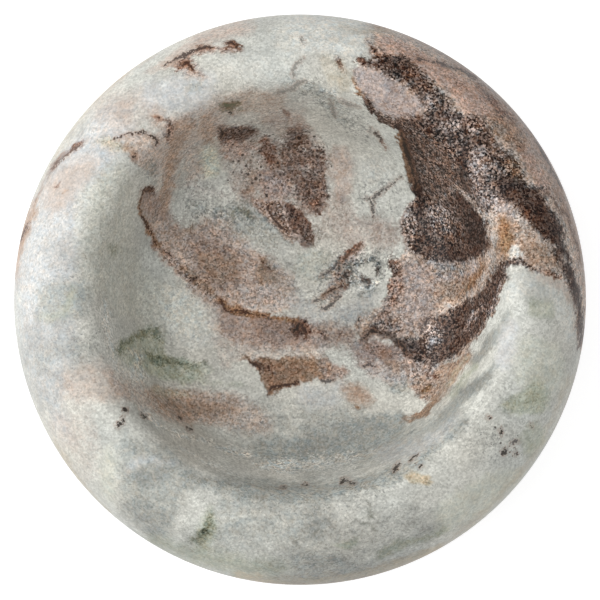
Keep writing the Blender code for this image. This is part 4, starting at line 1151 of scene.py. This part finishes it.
@dataclass(frozen=True)
class HonedMarble:
    """Honed marble: sugary pale calcite, with iron-stained brown seams and a little green chlorite.

    The hone leaves it matt, with a soft sheen, so that each crystal shows as a pale or a dark grain. Layers
    of the stone are folded round an upright axis, so its clouds and seams run round the bowl. Crystals
    under half a millimetre would be finer than a pixel, so the finest grain is drawn at 0.7 mm.
    """

    roughness: float = 0.46
    roughness_swing: float = 0.08
    shine: float = 0.22
    ior: float = 1.49
    relief: float = 0.03 * MM
    relief_strength: float = 0.5
    cool_ground: str = "#BFC1BB"
    warm_ground: str = "#C8C5BB"
    pale_grain: str = "#A9968A"
    white_grain: str = "#E4E2DB"
    graphite: str = "#5E615F"
    speck: str = "#2B1D17"
    halo: str = "#8F6A52"
    grain_size: float = 0.7 * MM
    clot_size: float = 1.5 * MM
    crystal_size: float = 0.95 * MM
    patch_size: float = 5.0 * MM
    cloud_size: float = 11.0 * MM
    broad_size: float = 38.0 * MM
    speck_gap: float = 2.0 * MM
    fold_axis: float = 37 * MM
    fold_core: float = 14 * MM
    fold_turns: float = 5.0
    fold_warp: float = 9 * MM
    layer: float = 3.4 * MM
    lamina: float = 1.2 * MM
    layer_dip: float = 0.7
    least_stain: float = 0.002
    calm_edge: float = 1.5
    broken_edge: float = 0.3
    hue_swing: tuple[float, float, float] = (0.8, 0.0, -0.7)
    calm_grain: float = 0.055
    full_grain: float = 1.2
    grain_contrast: float = 4.0
    display_step: float = 0.42
    darkest: float = 0.02
    cloud_floor: float = 0.68
    pale_from: float = 0.9
    pale_share: float = 0.25
    sugar_share: float = 0.6
    thread_width: float = 0.08
    hairline_bend: float = 1.6

    def material(self) -> bpy.types.Material:
        """Makes the marble.

        Returns:
            The material, which reads Object coordinates and the attributes that the drawing leaves.
        """
        made = bpy.data.materials.new("honed green-white marble with brown seams")
        add = empty_nodes(made)
        look = self.patterns(add)
        stone, mask = self.stained(add, look)
        stone = self.grained(add, look, stone, mask)
        stone = self.flecked(add, look, stone)
        stone = self.veined(add, look, stone)
        sheen = add("ShaderNodeMapRange", {
            "Value": look["cloud"], "To Min": self.roughness - self.roughness_swing,
            "To Max": self.roughness + self.roughness_swing})
        height = add("ShaderNodeMix", {
            "Factor": 0.4, 2: look["patch"], 3: look["grain"]}, data_type="FLOAT")
        bump = add("ShaderNodeBump", {
            "Strength": self.relief_strength, "Distance": self.relief, "Height": height})
        shader = add("ShaderNodeBsdfPrincipled", {
            "Base Color": stone, "Roughness": sheen, "Normal": bump, "IOR": self.ior,
            "Specular IOR Level": self.shine})
        add("ShaderNodeOutputMaterial", {"Surface": shader})
        return made

    def patterns(self, add: Adder) -> Look:
        """Adds the patterns that the colours share, each running evenly from 0 to 1.

        Args:
            add: Adds a node to the material.

        Returns:
            The patterns by name: grain, tint and pick are steady within a grain, block within a crystal,
            and the others are smooth. Layer and lamina run along the folds. With them are place, the
            point's own position, and grit, how far the drawing lets the grain show there.
        """
        place = add("ShaderNodeTexCoord").outputs["Object"]
        grit = add("ShaderNodeAttribute", attribute_name="stain_grit").outputs["Fac"]
        look = {"place": place, "grit": grit}
        ragged = add("ShaderNodeTexNoise", {
            "Vector": place, "Scale": 1 / self.grain_size, "Detail": 1.0}).outputs["Color"]
        edge = add("ShaderNodeVectorMath", {
            0: ragged, 1: (self.grain_size,) * 3, 2: place}, operation="MULTIPLY_ADD")
        cell = add("ShaderNodeTexVoronoi", {"Vector": edge, "Scale": 1 / self.grain_size})
        chance = add("ShaderNodeSeparateColor", {0: cell.outputs["Color"]}).outputs
        look["grain"], look["tint"], look["pick"] = chance
        block = add("ShaderNodeTexVoronoi", {"Vector": edge, "Scale": 1 / self.crystal_size})
        look["block"] = add("ShaderNodeSeparateColor", {0: block.outputs["Color"]})
        noises = {"clot": (place, 1 / self.clot_size, 2.0, 0.6),
                  "patch": (place, 1 / self.patch_size, 4.0, 0.7),
                  "mottle": (place, 1.4 / self.patch_size, 3.0, 0.65),
                  "cloud": (place, 1 / self.cloud_size, 4.0, 0.62),
                  "broad": (place, 1 / self.broad_size, 2.0, 0.5),
                  "layer": (self.folded(add, place, self.layer), 1.0, 3.0, 0.6),
                  "lamina": (self.folded(add, place, self.lamina), 1.0, 2.0, 0.6)}
        for name, (where, scale, detail, rough) in noises.items():
            shifted = add("ShaderNodeVectorMath", {0: where, 1: (3 / scale, 0, 0)}, operation="ADD")
            noisy = add("ShaderNodeTexNoise", {
                "Vector": shifted, "Scale": scale, "Detail": detail, "Roughness": rough})
            look[name] = add("ShaderNodeMapRange", {"Value": noisy, "From Min": 0.3, "From Max": 0.7})
        return look

    def folded(self, add: Adder, place: Feed, thickness: float) -> Feed:
        """Bends space so that noise in it lies in layers folded round an upright axis.

        Args:
            add: Adds a node to the material.
            place: Where the point is.
            thickness: Thickness of a layer.

        Returns:
            The place in folded space, in layers.
        """
        bend = add("ShaderNodeTexNoise", {
            "Vector": place, "Scale": 0.35 / self.fold_warp, "Detail": 3.0}).outputs["Color"]
        bent = add("ShaderNodeVectorMath", {
            0: bend, 1: (self.fold_warp * 2,) * 3, 2: place}, operation="MULTIPLY_ADD")
        bent = add("ShaderNodeVectorMath", {
            0: bent, 1: (self.fold_warp, self.fold_warp + self.fold_axis, self.fold_warp)},
            operation="SUBTRACT")
        flat = add("ShaderNodeVectorMath", {0: bent, 1: (1, 1, 0)}, operation="MULTIPLY")
        out = add("ShaderNodeVectorMath", {0: flat}, operation="LENGTH").outputs["Value"]
        softer = add("ShaderNodeMath", {0: out, 1: self.fold_core}, operation="ADD")
        spread = add("ShaderNodeMath", {0: self.fold_turns, 1: softer}, operation="DIVIDE")
        round_axis = add("ShaderNodeVectorMath", {0: flat, "Scale": spread}, operation="SCALE")
        height = add("ShaderNodeSeparateXYZ", {0: bent}).outputs["Z"]
        sheet = add("ShaderNodeMath", {0: height, 1: self.layer_dip, 2: out}, operation="MULTIPLY_ADD")
        sheet = add("ShaderNodeMath", {0: sheet, 1: thickness}, operation="DIVIDE")
        upward = add("ShaderNodeCombineXYZ", {"Z": sheet})
        return add("ShaderNodeVectorMath", {0: round_axis, 1: upward}, operation="ADD")

    def blend(self, add: Adder, look: Look, **shares: float) -> Feed:
        """Adds patterns up in given shares.

        Args:
            add: Adds a node to the material.
            look: The patterns by name.
            shares: How much each counts. Shares that add up to 1 give an even middle of 0.5.

        Returns:
            The sum.
        """
        total = 0.0
        for name, share in shares.items():
            total = add("ShaderNodeMath", {0: look[name], 1: share, 2: total}, operation="MULTIPLY_ADD")
        return total

    def stained(self, add: Adder, look: Look) -> tuple[Feed, Feed]:
        """Lays the drawn minerals, painted shade and highlights over the calcite, with an edge broken grain
        by grain.

        Args:
            add: Adds a node to the material.
            look: The patterns by name.

        Returns:
            The colour, and the share of it that the minerals cover.
        """
        ground = add("ShaderNodeMix", {
            "Factor": look["broad"], 6: linear(self.cool_ground), 7: linear(self.warm_ground)},
            data_type="RGBA").outputs[2]
        stain = add("ShaderNodeAttribute", attribute_name="stain")
        amount = add("ShaderNodeMath", {0: stain.outputs["Alpha"], 1: self.least_stain}, operation="MAXIMUM")
        spread = add("ShaderNodeMath", {0: 1.0, 1: amount}, operation="DIVIDE")
        colour = add("ShaderNodeVectorMath", {0: stain.outputs["Color"], "Scale": spread}, operation="SCALE")
        threshold = self.blend(add, look, patch=0.33, layer=0.19, lamina=0.24, pick=0.24)
        width = add("ShaderNodeMapRange", {
            "Value": look["grit"], "To Min": self.calm_edge, "To Max": self.broken_edge})
        wider = add("ShaderNodeMath", {0: width, 1: 1.0}, operation="ADD")
        level = add("ShaderNodeMath", {0: stain.outputs["Alpha"], 1: wider}, operation="MULTIPLY")
        above = add("ShaderNodeMath", {0: level, 1: threshold}, operation="SUBTRACT")
        mask = add("ShaderNodeMath", {0: above, 1: width}, operation="DIVIDE", use_clamp=True)
        hue = self.blend(add, look, clot=0.35, mottle=0.65)
        hue = add("ShaderNodeMath", {0: hue, 1: 0.5}, operation="SUBTRACT")
        hue = add("ShaderNodeMath", {0: hue, 1: look["grit"]}, operation="MULTIPLY")
        jitter = add("ShaderNodeVectorMath", {
            0: self.hue_swing, 1: hue, 2: (1.0, 1.0, 1.0)}, operation="MULTIPLY_ADD")
        colour = add("ShaderNodeVectorMath", {0: colour, 1: jitter}, operation="MULTIPLY")
        stone = add("ShaderNodeMix", {"Factor": mask, 6: ground, 7: colour}, data_type="RGBA").outputs[2]
        return stone, mask

    def grained(self, add: Adder, look: Look, stone: Feed, mask: Feed) -> Feed:
        """Lets each grain turn out lighter or darker, by steps that are even to the eye, and adds clouds.

        The steps are taken in display light and leave the mean and the hue alone. Where there is little
        grit most grains are pale and a few are dark.

        Args:
            add: Adds a node to the material.
            look: The patterns by name.
            stone: Colour so far.
            mask: Share of it that the minerals and the painted shade and highlights cover.

        Returns:
            The colour.
        """
        power = add("ShaderNodeMath", {0: look["grit"], 1: 0.4, 2: 0.6}, operation="MULTIPLY_ADD")
        bright = add("ShaderNodeMath", {0: look["grain"], 1: power}, operation="POWER")
        middle = add("ShaderNodeMath", {0: power, 1: 1.0}, operation="ADD")
        middle = add("ShaderNodeMath", {0: 1.0, 1: middle}, operation="DIVIDE")
        side = add("ShaderNodeMath", {0: bright, 1: middle}, operation="SUBTRACT")
        swing = self.blend(add, look, block=0.4, clot=0.6, lamina=0.6)
        side = add("ShaderNodeMath", {0: side, 1: self.grain_contrast, 2: swing}, operation="MULTIPLY_ADD")
        force = add("ShaderNodeMath", {0: look["grit"], 1: 2.1}, operation="POWER")
        force = add("ShaderNodeMapRange", {
            "Value": force, "To Min": self.calm_grain, "To Max": self.full_grain})
        even = add("ShaderNodeMath", {0: force, 1: self.display_step, 2: 0.8}, operation="MULTIPLY_ADD")
        side = add("ShaderNodeMath", {0: side, 1: even}, operation="SUBTRACT")
        push = add("ShaderNodeMath", {0: side, 1: force}, operation="MULTIPLY")
        light = add("ShaderNodeGamma", {0: stone, 1: 1 / DISPLAY_GAMMA})
        grey = add("ShaderNodeRGBToBW", {0: light})
        step = add("ShaderNodeMath", {0: push, 1: self.display_step}, operation="MULTIPLY")
        light = add("ShaderNodeVectorMath", {0: grey, 1: step, 2: light}, operation="MULTIPLY_ADD")
        light = add("ShaderNodeVectorMath", {0: light, 1: (self.darkest,) * 3}, operation="MAXIMUM")
        stone = add("ShaderNodeGamma", {0: light, 1: DISPLAY_GAMMA})
        soft = self.blend(add, look, cloud=0.22, layer=0.14, patch=0.16, clot=0.12)
        soft = add("ShaderNodeMath", {0: soft, 1: self.cloud_floor}, operation="ADD")
        stone = add("ShaderNodeVectorMath", {0: stone, "Scale": soft}, operation="SCALE")
        paler = add("ShaderNodeMapRange", {
            "Value": look["pick"], "From Min": self.pale_from, "From Max": self.pale_from + 0.02,
            "To Max": self.pale_share})
        paler = add("ShaderNodeMath", {0: paler, 1: force}, operation="MULTIPLY")
        paler = add("ShaderNodeMath", {0: paler, 1: mask}, operation="MULTIPLY")
        return add("ShaderNodeMix", {
            "Factor": paler, 6: stone, 7: linear(self.pale_grain)}, data_type="RGBA").outputs[2]

    def flecked(self, add: Adder, look: Look, stone: Feed) -> Feed:
        """Scatters white grains, threads of graphite and dark specks where the drawing has them.

        Args:
            add: Adds a node to the material.
            look: The patterns by name.
            stone: Colour so far.

        Returns:
            The colour.
        """
        flecks = add("ShaderNodeAttribute", attribute_name="flecks").outputs["Color"]
        flecks = add("ShaderNodeSeparateColor", {0: flecks}).outputs
        rare = add("ShaderNodeMapRange", {"Value": flecks[SUGAR.value], "To Min": 1.0, "To Max": 0.8})
        bright = add("ShaderNodeMath", {0: look["tint"], 1: rare}, operation="GREATER_THAN")
        bright = add("ShaderNodeMath", {0: bright, 1: self.sugar_share}, operation="MULTIPLY")
        stone = add("ShaderNodeMix", {
            "Factor": bright, 6: stone, 7: linear(self.white_grain)}, data_type="RGBA").outputs[2]

        thread = add("ShaderNodeTexNoise", {
            "Vector": look["place"], "Scale": 0.8 / self.patch_size, "Detail": 4.0, "Roughness": 0.65,
            "Distortion": 0.8})
        off = add("ShaderNodeMath", {0: thread, 1: 0.5}, operation="SUBTRACT")
        off = add("ShaderNodeMath", {0: off}, operation="ABSOLUTE")
        ridge = add("ShaderNodeMapRange", {
            "Value": off, "From Min": 0.0, "From Max": self.thread_width, "To Min": 1.0, "To Max": 0.0})
        ridge = add("ShaderNodeMath", {0: ridge, 1: flecks[GRAPHITE.value]}, operation="MULTIPLY")
        chance = self.blend(add, look, pick=0.6, clot=0.4)
        dusty = add("ShaderNodeMath", {0: ridge, 1: chance}, operation="SUBTRACT")
        dusty = add("ShaderNodeMapRange", {"Value": dusty, "From Min": 0.0, "From Max": 0.4, "To Max": 0.6})
        stone = add("ShaderNodeMix", {
            "Factor": dusty, 6: stone, 7: linear(self.graphite)}, data_type="RGBA").outputs[2]

        cell = add("ShaderNodeTexVoronoi", {"Vector": look["place"], "Scale": 1 / self.speck_gap})
        chance = add("ShaderNodeSeparateColor", {0: cell.outputs["Color"]}).outputs
        size = add("ShaderNodeMapRange", {"Value": chance[1], "To Min": 0.12, "To Max": 0.34})
        size = add("ShaderNodeMath", {0: look["grain"], 1: 0.12, 2: size}, operation="MULTIPLY_ADD")
        dot = add("ShaderNodeMath", {0: size, 1: cell.outputs["Distance"]}, operation="SUBTRACT")
        dot = add("ShaderNodeMapRange", {"Value": dot, "From Max": 0.06, "To Max": 0.8})
        kept = add("ShaderNodeMath", {0: chance[0], 1: flecks[PEPPER.value]}, operation="LESS_THAN")
        dot = add("ShaderNodeMath", {0: dot, 1: kept}, operation="MULTIPLY")
        return add("ShaderNodeMix", {
            "Factor": dot, 6: stone, 7: linear(self.speck)}, data_type="RGBA").outputs[2]

    def veined(self, add: Adder, look: Look, stone: Feed) -> Feed:
        """Draws the hairlines, which waver, swell and break off grain by grain inside a rusty halo.

        Args:
            add: Adds a node to the material.
            look: The patterns by name.
            stone: Colour so far.

        Returns:
            The colour.
        """
        line = add("ShaderNodeAttribute", attribute_name="hairline").outputs["Vector"]
        line = add("ShaderNodeSeparateXYZ", {0: line}).outputs
        tint = add("ShaderNodeAttribute", attribute_name="hairline_tint").outputs["Color"]
        bend = add("ShaderNodeMapRange", {
            "Value": look["mottle"], "To Min": -self.hairline_bend, "To Max": self.hairline_bend})
        side = add("ShaderNodeMath", {0: line[0], 1: bend}, operation="ADD")
        side = add("ShaderNodeMath", {0: side}, operation="ABSOLUTE")
        swell = add("ShaderNodeMapRange", {"Value": look["patch"], "To Min": -1.5, "To Max": 0.2})
        half = add("ShaderNodeMath", {0: line[1], 1: swell}, operation="ADD")
        rough = self.blend(add, look, pick=2.2, clot=1.0)
        half = add("ShaderNodeMath", {0: half, 1: rough}, operation="ADD")
        depth = add("ShaderNodeMath", {0: half, 1: side}, operation="SUBTRACT")
        rust = add("ShaderNodeMapRange", {
            "Value": depth, "From Min": -2.6, "From Max": 0.6, "To Max": 0.45})
        broken = self.blend(add, look, grain=0.8, pick=0.8, clot=0.4)
        rust = add("ShaderNodeMath", {0: rust, 1: line[2]}, operation="MULTIPLY")
        rust = add("ShaderNodeMath", {0: rust, 1: broken}, operation="MULTIPLY")
        stone = add("ShaderNodeMix", {
            "Factor": rust, 6: stone, 7: linear(self.halo)}, data_type="RGBA").outputs[2]
        inked = add("ShaderNodeMapRange", {"Value": depth, "From Min": 0.4, "From Max": 1.0})
        inked = add("ShaderNodeMath", {0: inked, 1: line[2]}, operation="MULTIPLY")
        return add("ShaderNodeMix", {"Factor": inked, 6: stone, 7: tint}, data_type="RGBA").outputs[2]


@dataclass
class BowlBody:
    """The turned block of marble."""

    node: str = "bowl_body"
    turn_steps: int = 512
    profile_steps: int = 190
    fine_past_widest: float = 30 * MM
    fine_steps: float = 0.89
    wander: tuple[tuple[float, float], ...] = ((6 * MM, 2.6), (2.6 * MM, 3.0), (1.2 * MM, 2.4))
    wander_seed: int = 7
    vein_wander: float = 0.3
    map_turns: int = 360
    map_steps: int = 400
    profile: BowlProfile = field(init=False)
    outline: list[tuple[float, float]] = field(init=False)
    body: bpy.types.Object = field(init=False)

    def __post_init__(self) -> None:
        """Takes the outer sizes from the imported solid."""
        low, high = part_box(self.node)
        self.profile = BowlProfile(high.x, high.z, low.z)
        self.outline = self.profile.hollow() + self.profile.outside()

    def build(self, material: bpy.types.Material) -> bpy.types.Object:
        """Turns the bowl.

        Args:
            material: The marble.

        Returns:
            The bowl.
        """
        gaps = [math.dist(a, b) for a, b in zip(self.outline, self.outline[1:])]
        widest = len(self.profile.hollow()) + self.profile.steps - 1
        fine = (sum(gaps[:widest]) + self.fine_past_widest) / sum(gaps)
        self.body = Lathe().turn("marble_bowl", self.outline, self.turn_steps, self.profile_steps, fine,
                                 self.fine_steps, material)
        return self.body

    def points(self) -> np.ndarray:
        """Gives the bowl's vertices.

        Returns:
            One row of x, y and z for each, in metres.
        """
        flat = np.empty(len(self.body.data.vertices) * 3)
        self.body.data.vertices.foreach_get("co", flat)
        return flat.reshape(-1, 3)

    def photo_places(self, studio: Studio) -> np.ndarray:
        """Finds where each vertex lies in the drawing.

        Up to the bowl's outline that is the pixel of the photograph where it shows. Past the outline the
        place runs on outwards at the scale of the rim, so that the drawing also covers the hidden outside.

        Args:
            studio: The studio, with its camera.

        Returns:
            One row of x and y for each vertex, in photo pixels.
        """
        outline = np.array(self.outline)
        gaps = np.hypot(*np.diff(outline, axis=0).T)
        run = np.concatenate(([0.0], np.cumsum(gaps)))
        steps = np.linspace(0, run[-1], self.map_steps)
        radius = np.interp(steps, run, outline[:, 0])
        height = np.interp(steps, run, outline[:, 1])
        turns = np.linspace(-math.pi, math.pi, self.map_turns + 1)
        middle = np.array([(OUTLINE_LEFT + OUTLINE_RIGHT) / 2, (OUTLINE_TOP + OUTLINE_BOTTOM) / 2])
        scale = (OUTLINE_RIGHT - OUTLINE_LEFT) / 2 / self.profile.outer_radius
        table = np.empty((len(turns), len(steps), 2))
        for row, turn in zip(table, turns):
            ring = np.stack((radius * math.cos(turn), radius * math.sin(turn), height), 1)
            seen = studio.pixels(ring) - middle
            away = np.hypot(*seen.T)
            edge = int(away.argmax())
            past = 1 + (steps - steps[edge]) * scale / away[edge]
            row[:] = middle + np.where((steps > steps[edge])[:, None], seen[edge] * past[:, None], seen)
        points = self.points()
        along = np.empty(len(points), np.float32)
        self.body.data.attributes["along"].data.foreach_get("value", along)
        first = (np.arctan2(points[:, 1], points[:, 0]) + math.pi) / math.tau * self.map_turns
        then = along * (self.map_steps - 1.0)
        i = np.clip(first.astype(int), 0, self.map_turns - 1)
        j = np.clip(then.astype(int), 0, self.map_steps - 2)
        u = (first - i)[:, None]
        v = (then - j)[:, None]
        near = table[i, j] * (1 - v) + table[i, j + 1] * v
        far = table[i + 1, j] * (1 - v) + table[i + 1, j + 1] * v
        return near * (1 - u) + far * u

    def paint(self, studio: Studio) -> None:
        """Lays the drawing on the vertices, as the attributes that the marble reads.

        Args:
            studio: The studio, with its camera.
        """
        at = self.photo_places(studio)
        drift = np.zeros_like(at)
        noise.seed_set(self.wander_seed)
        for size, pixels in self.wander:
            for k, point in enumerate(self.body.data.vertices):
                push = noise.noise_vector(point.co / size)
                drift[k] += (push.x * pixels, push.y * pixels)
        moved = at + drift
        count = len(at)
        stain = np.zeros((count, 4))
        grit = np.full(count, GROUND_GRIT)
        # The last shapes laid, the veils, are painted shade and a painted highlight over the stone's own
        # colours
        for shape in (*OUTSIDE, *GROUND_TONES, *GREENS, *STAINS, *BROWNS, *FLOOR_BROWNS, *PAINTED_SHADE_AND_LIGHT):
            near, share = shape.lay(moved)
            share = share * shape.amount
            colour = np.array(linear(shape.kind.value))
            stain[near] = stain[near] * (1 - share)[:, None] + colour * share[:, None]
            grit[near] = grit[near] * (1 - share) + shape.grit * share
        flecks = np.zeros((count, 4))
        for shape in SCATTERS:
            near, share = shape.lay(moved)
            column = flecks[near, shape.kind.value]
            flecks[near, shape.kind.value] = np.maximum(column, share * shape.amount)
        hairline = np.zeros((count, 3))
        hairline[:, 1] = -Vein.margin
        tint = np.zeros((count, 4))
        for vein in (Vein(kind, line, amount) for kind, amount, lines in HAIRLINES for line in lines):
            near, side, half = vein.lay(at + drift * self.vein_wander)
            better = half - np.abs(side) > hairline[near, 1] - np.abs(hairline[near, 0])
            chosen = near[better]
            hairline[chosen] = np.stack((side, half, np.full(len(side), vein.amount)), 1)[better]
            tint[chosen] = linear(vein.kind.value)
        for name, kind, key, values in (
                ("stain", "FLOAT_COLOR", "color", stain), ("stain_grit", "FLOAT", "value", grit),
                ("flecks", "FLOAT_COLOR", "color", flecks), ("hairline", "FLOAT_VECTOR", "vector", hairline),
                ("hairline_tint", "FLOAT_COLOR", "color", tint)):
            layer = self.body.data.attributes.new(name, kind, "POINT")
            layer.data.foreach_set(key, values.astype(np.float32).ravel())


@dataclass(frozen=True)
class PressedFelt:
    """Pressed wool felt, cut with a die: matt and woolly, with single fibres that are darker or paler.

    The fibres are drawn about ten times as coarse as wool, so that they show.
    """

    pale: str = "#BDB7AC"
    dark: str = "#9A9388"
    stray: str = "#6E675E"
    fibre: float = 0.22 * MM
    clump: float = 1.6 * MM
    relief: float = 0.08 * MM
    roughness: float = 0.95
    fuzz: float = 0.25
    fuzz_roughness: float = 0.4

    def material(self) -> bpy.types.Material:
        """Makes the felt.

        Returns:
            The material, which reads Object coordinates.
        """
        made = bpy.data.materials.new("die-cut pressed wool felt")
        add = empty_nodes(made)
        place = add("ShaderNodeTexCoord").outputs["Object"]
        clump = add("ShaderNodeTexNoise", {"Vector": place, "Scale": 1 / self.clump, "Detail": 2.0})
        strand = add("ShaderNodeTexNoise", {
            "Vector": place, "Scale": 0.35 / self.fibre, "Detail": 4.0, "Roughness": 0.7,
            "Distortion": 2.5})
        colour = add("ShaderNodeMix", {
            "Factor": strand, 6: linear(self.dark), 7: linear(self.pale)}, data_type="RGBA").outputs[2]
        shade = add("ShaderNodeMapRange", {
            "Value": clump, "From Min": 0.3, "From Max": 0.7, "To Min": 0.88, "To Max": 1.1})
        colour = add("ShaderNodeVectorMath", {0: colour, "Scale": shade}, operation="SCALE")
        apart = add("ShaderNodeTexNoise", {
            "Vector": place, "Scale": 0.2 / self.fibre, "Detail": 1.0, "Distortion": 5.0})
        apart = add("ShaderNodeMapRange", {"Value": apart, "From Min": 0.64, "From Max": 0.68})
        colour = add("ShaderNodeMix", {
            "Factor": apart, 6: colour, 7: linear(self.stray)}, data_type="RGBA").outputs[2]
        bump = add("ShaderNodeBump", {"Strength": 0.8, "Distance": self.relief, "Height": strand})
        shader = add("ShaderNodeBsdfPrincipled", {
            "Base Color": colour, "Roughness": self.roughness, "Sheen Weight": self.fuzz,
            "Sheen Roughness": self.fuzz_roughness, "Normal": bump})
        add("ShaderNodeOutputMaterial", {"Surface": shader})
        return made


@dataclass(frozen=True)
class AdhesiveFilm:
    """Film of white pressure-sensitive adhesive: smooth, a little glossy and milky."""

    colour: str = "#D8D5CC"
    blotch: float = 3.0 * MM
    relief: float = 0.02 * MM
    ior: float = 1.47

    def material(self) -> bpy.types.Material:
        """Makes the adhesive.

        Returns:
            The material, which reads Object coordinates.
        """
        made = bpy.data.materials.new("milky adhesive film")
        add = empty_nodes(made)
        place = add("ShaderNodeTexCoord").outputs["Object"]
        blotch = add("ShaderNodeTexNoise", {"Vector": place, "Scale": 1 / self.blotch, "Detail": 2.0})
        gloss = add("ShaderNodeMapRange", {"Value": blotch, "To Min": 0.25, "To Max": 0.45})
        shade = add("ShaderNodeMapRange", {"Value": blotch, "To Min": 0.92, "To Max": 1.04})
        colour = add("ShaderNodeVectorMath", {0: linear(self.colour)[:3], "Scale": shade}, operation="SCALE")
        bump = add("ShaderNodeBump", {"Strength": 0.2, "Distance": self.relief, "Height": blotch})
        shader = add("ShaderNodeBsdfPrincipled", {
            "Base Color": colour, "Roughness": gloss, "Normal": bump, "IOR": self.ior})
        add("ShaderNodeOutputMaterial", {"Surface": shader})
        return made


@dataclass
class FeltPads:
    """Four round felt pads, each stuck to the base with a film of adhesive."""

    nodes: tuple[str, ...] = ("felt_pad_front_left", "felt_pad_front_right", "felt_pad_back_left",
                              "felt_pad_back_right")
    edge_round: float = 0.45 * MM
    edge_steps: int = 8
    nap: float = 0.09 * MM
    nap_size: float = 0.7 * MM
    film_gap: float = 0.02 * MM
    film_inset: float = 0.5 * MM
    turn_steps: int = 112
    profile_steps: int = 112

    def build(self, stone_base: float, felt: bpy.types.Material,
              film: bpy.types.Material) -> dict[str, bpy.types.Object]:
        """Makes the pads where their solids are.

        Args:
            stone_base: Height of the flat face that they are stuck to.
            felt: What the pads are made of.
            film: What the adhesive is made of.

        Returns:
            The pads by the names of the solids that they stand for.
        """
        return {node: self.pad(node, stone_base, felt, film) for node in self.nodes}

    def pad(self, node: str, stone_base: float, felt: bpy.types.Material,
            film: bpy.types.Material) -> bpy.types.Object:
        """Makes one pad, with its nap pressed flat where it rests.

        Args:
            node: The solid that it stands for.
            stone_base: Height of the face above it.
            felt: What the pad is made of.
            film: What the adhesive is made of.

        Returns:
            The pad.
        """
        low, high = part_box(node)
        radius = (high.x - low.x) / 2 - self.nap
        middle = np.array([(low.x + high.x) / 2, (low.y + high.y) / 2, 0])
        e = self.edge_round
        down = -math.pi / 2
        top = stone_base - self.film_gap
        profile = [(0.0, low.z), (radius - e, low.z)]
        profile += arc((radius - e, low.z + e), e, e, down, 0.0, self.edge_steps)
        profile += [(radius, high.z - e)]
        profile += arc((radius - e, high.z - e), e, e, 0.0, -down, self.edge_steps)
        profile += [(radius - self.film_inset, high.z), (radius - self.film_inset, top), (0.0, top)]
        pad = Lathe().turn(node.replace("felt_pad", "pressed_felt"), profile, self.turn_steps,
                           self.profile_steps, 0.5, 0.5, felt)
        mesh = pad.data
        mesh.materials.append(film)
        place = np.empty(len(mesh.vertices) * 3)
        outward = np.empty(len(mesh.vertices) * 3)
        mesh.vertices.foreach_get("co", place)
        mesh.vertices.foreach_get("normal", outward)
        place = place.reshape(-1, 3) + middle
        push = np.array([noise.noise(Vector(p) / self.nap_size) for p in place])
        wool = place[:, 2] < high.z + self.film_gap
        place += outward.reshape(-1, 3) * (push * wool * self.nap)[:, None]
        place[:, 2] = np.clip(place[:, 2], low.z, np.where(wool, high.z, top))
        mesh.vertices.foreach_set("co", place.ravel())
        for face in mesh.polygons:
            if face.center.z > high.z + self.film_gap:
                face.material_index = 1
        mesh.update()
        return pad


def main() -> None:
    """Builds the bowl, its pads and the studio, and reports each piece."""
    logging.basicConfig(level=logging.INFO, format="%(message)s")
    bowl = BowlBody()
    body = bowl.build(HonedMarble().material())
    studio = Studio()
    studio.add_camera(bowl.points())
    bowl.paint(studio)
    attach(body, "root")
    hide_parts(bowl.node)
    pieces = [body]
    pads = FeltPads().build(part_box(bowl.node)[0].z, PressedFelt().material(), AdhesiveFilm().material())
    for node, pad in pads.items():
        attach(pad, "root")
        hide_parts(node)
        pieces.append(pad)
    for piece in pieces:
        triangles = sum(len(face.vertices) - 2 for face in piece.data.polygons)
        log.info("%s: %d triangles", piece.name, triangles)
    for lamp in studio.lamps:
        lamp.hang()
    studio.add_floor()
    studio.add_world()
    bpy.context.scene.view_settings.view_transform = "Standard"


if __name__ == "__main__":
    main()
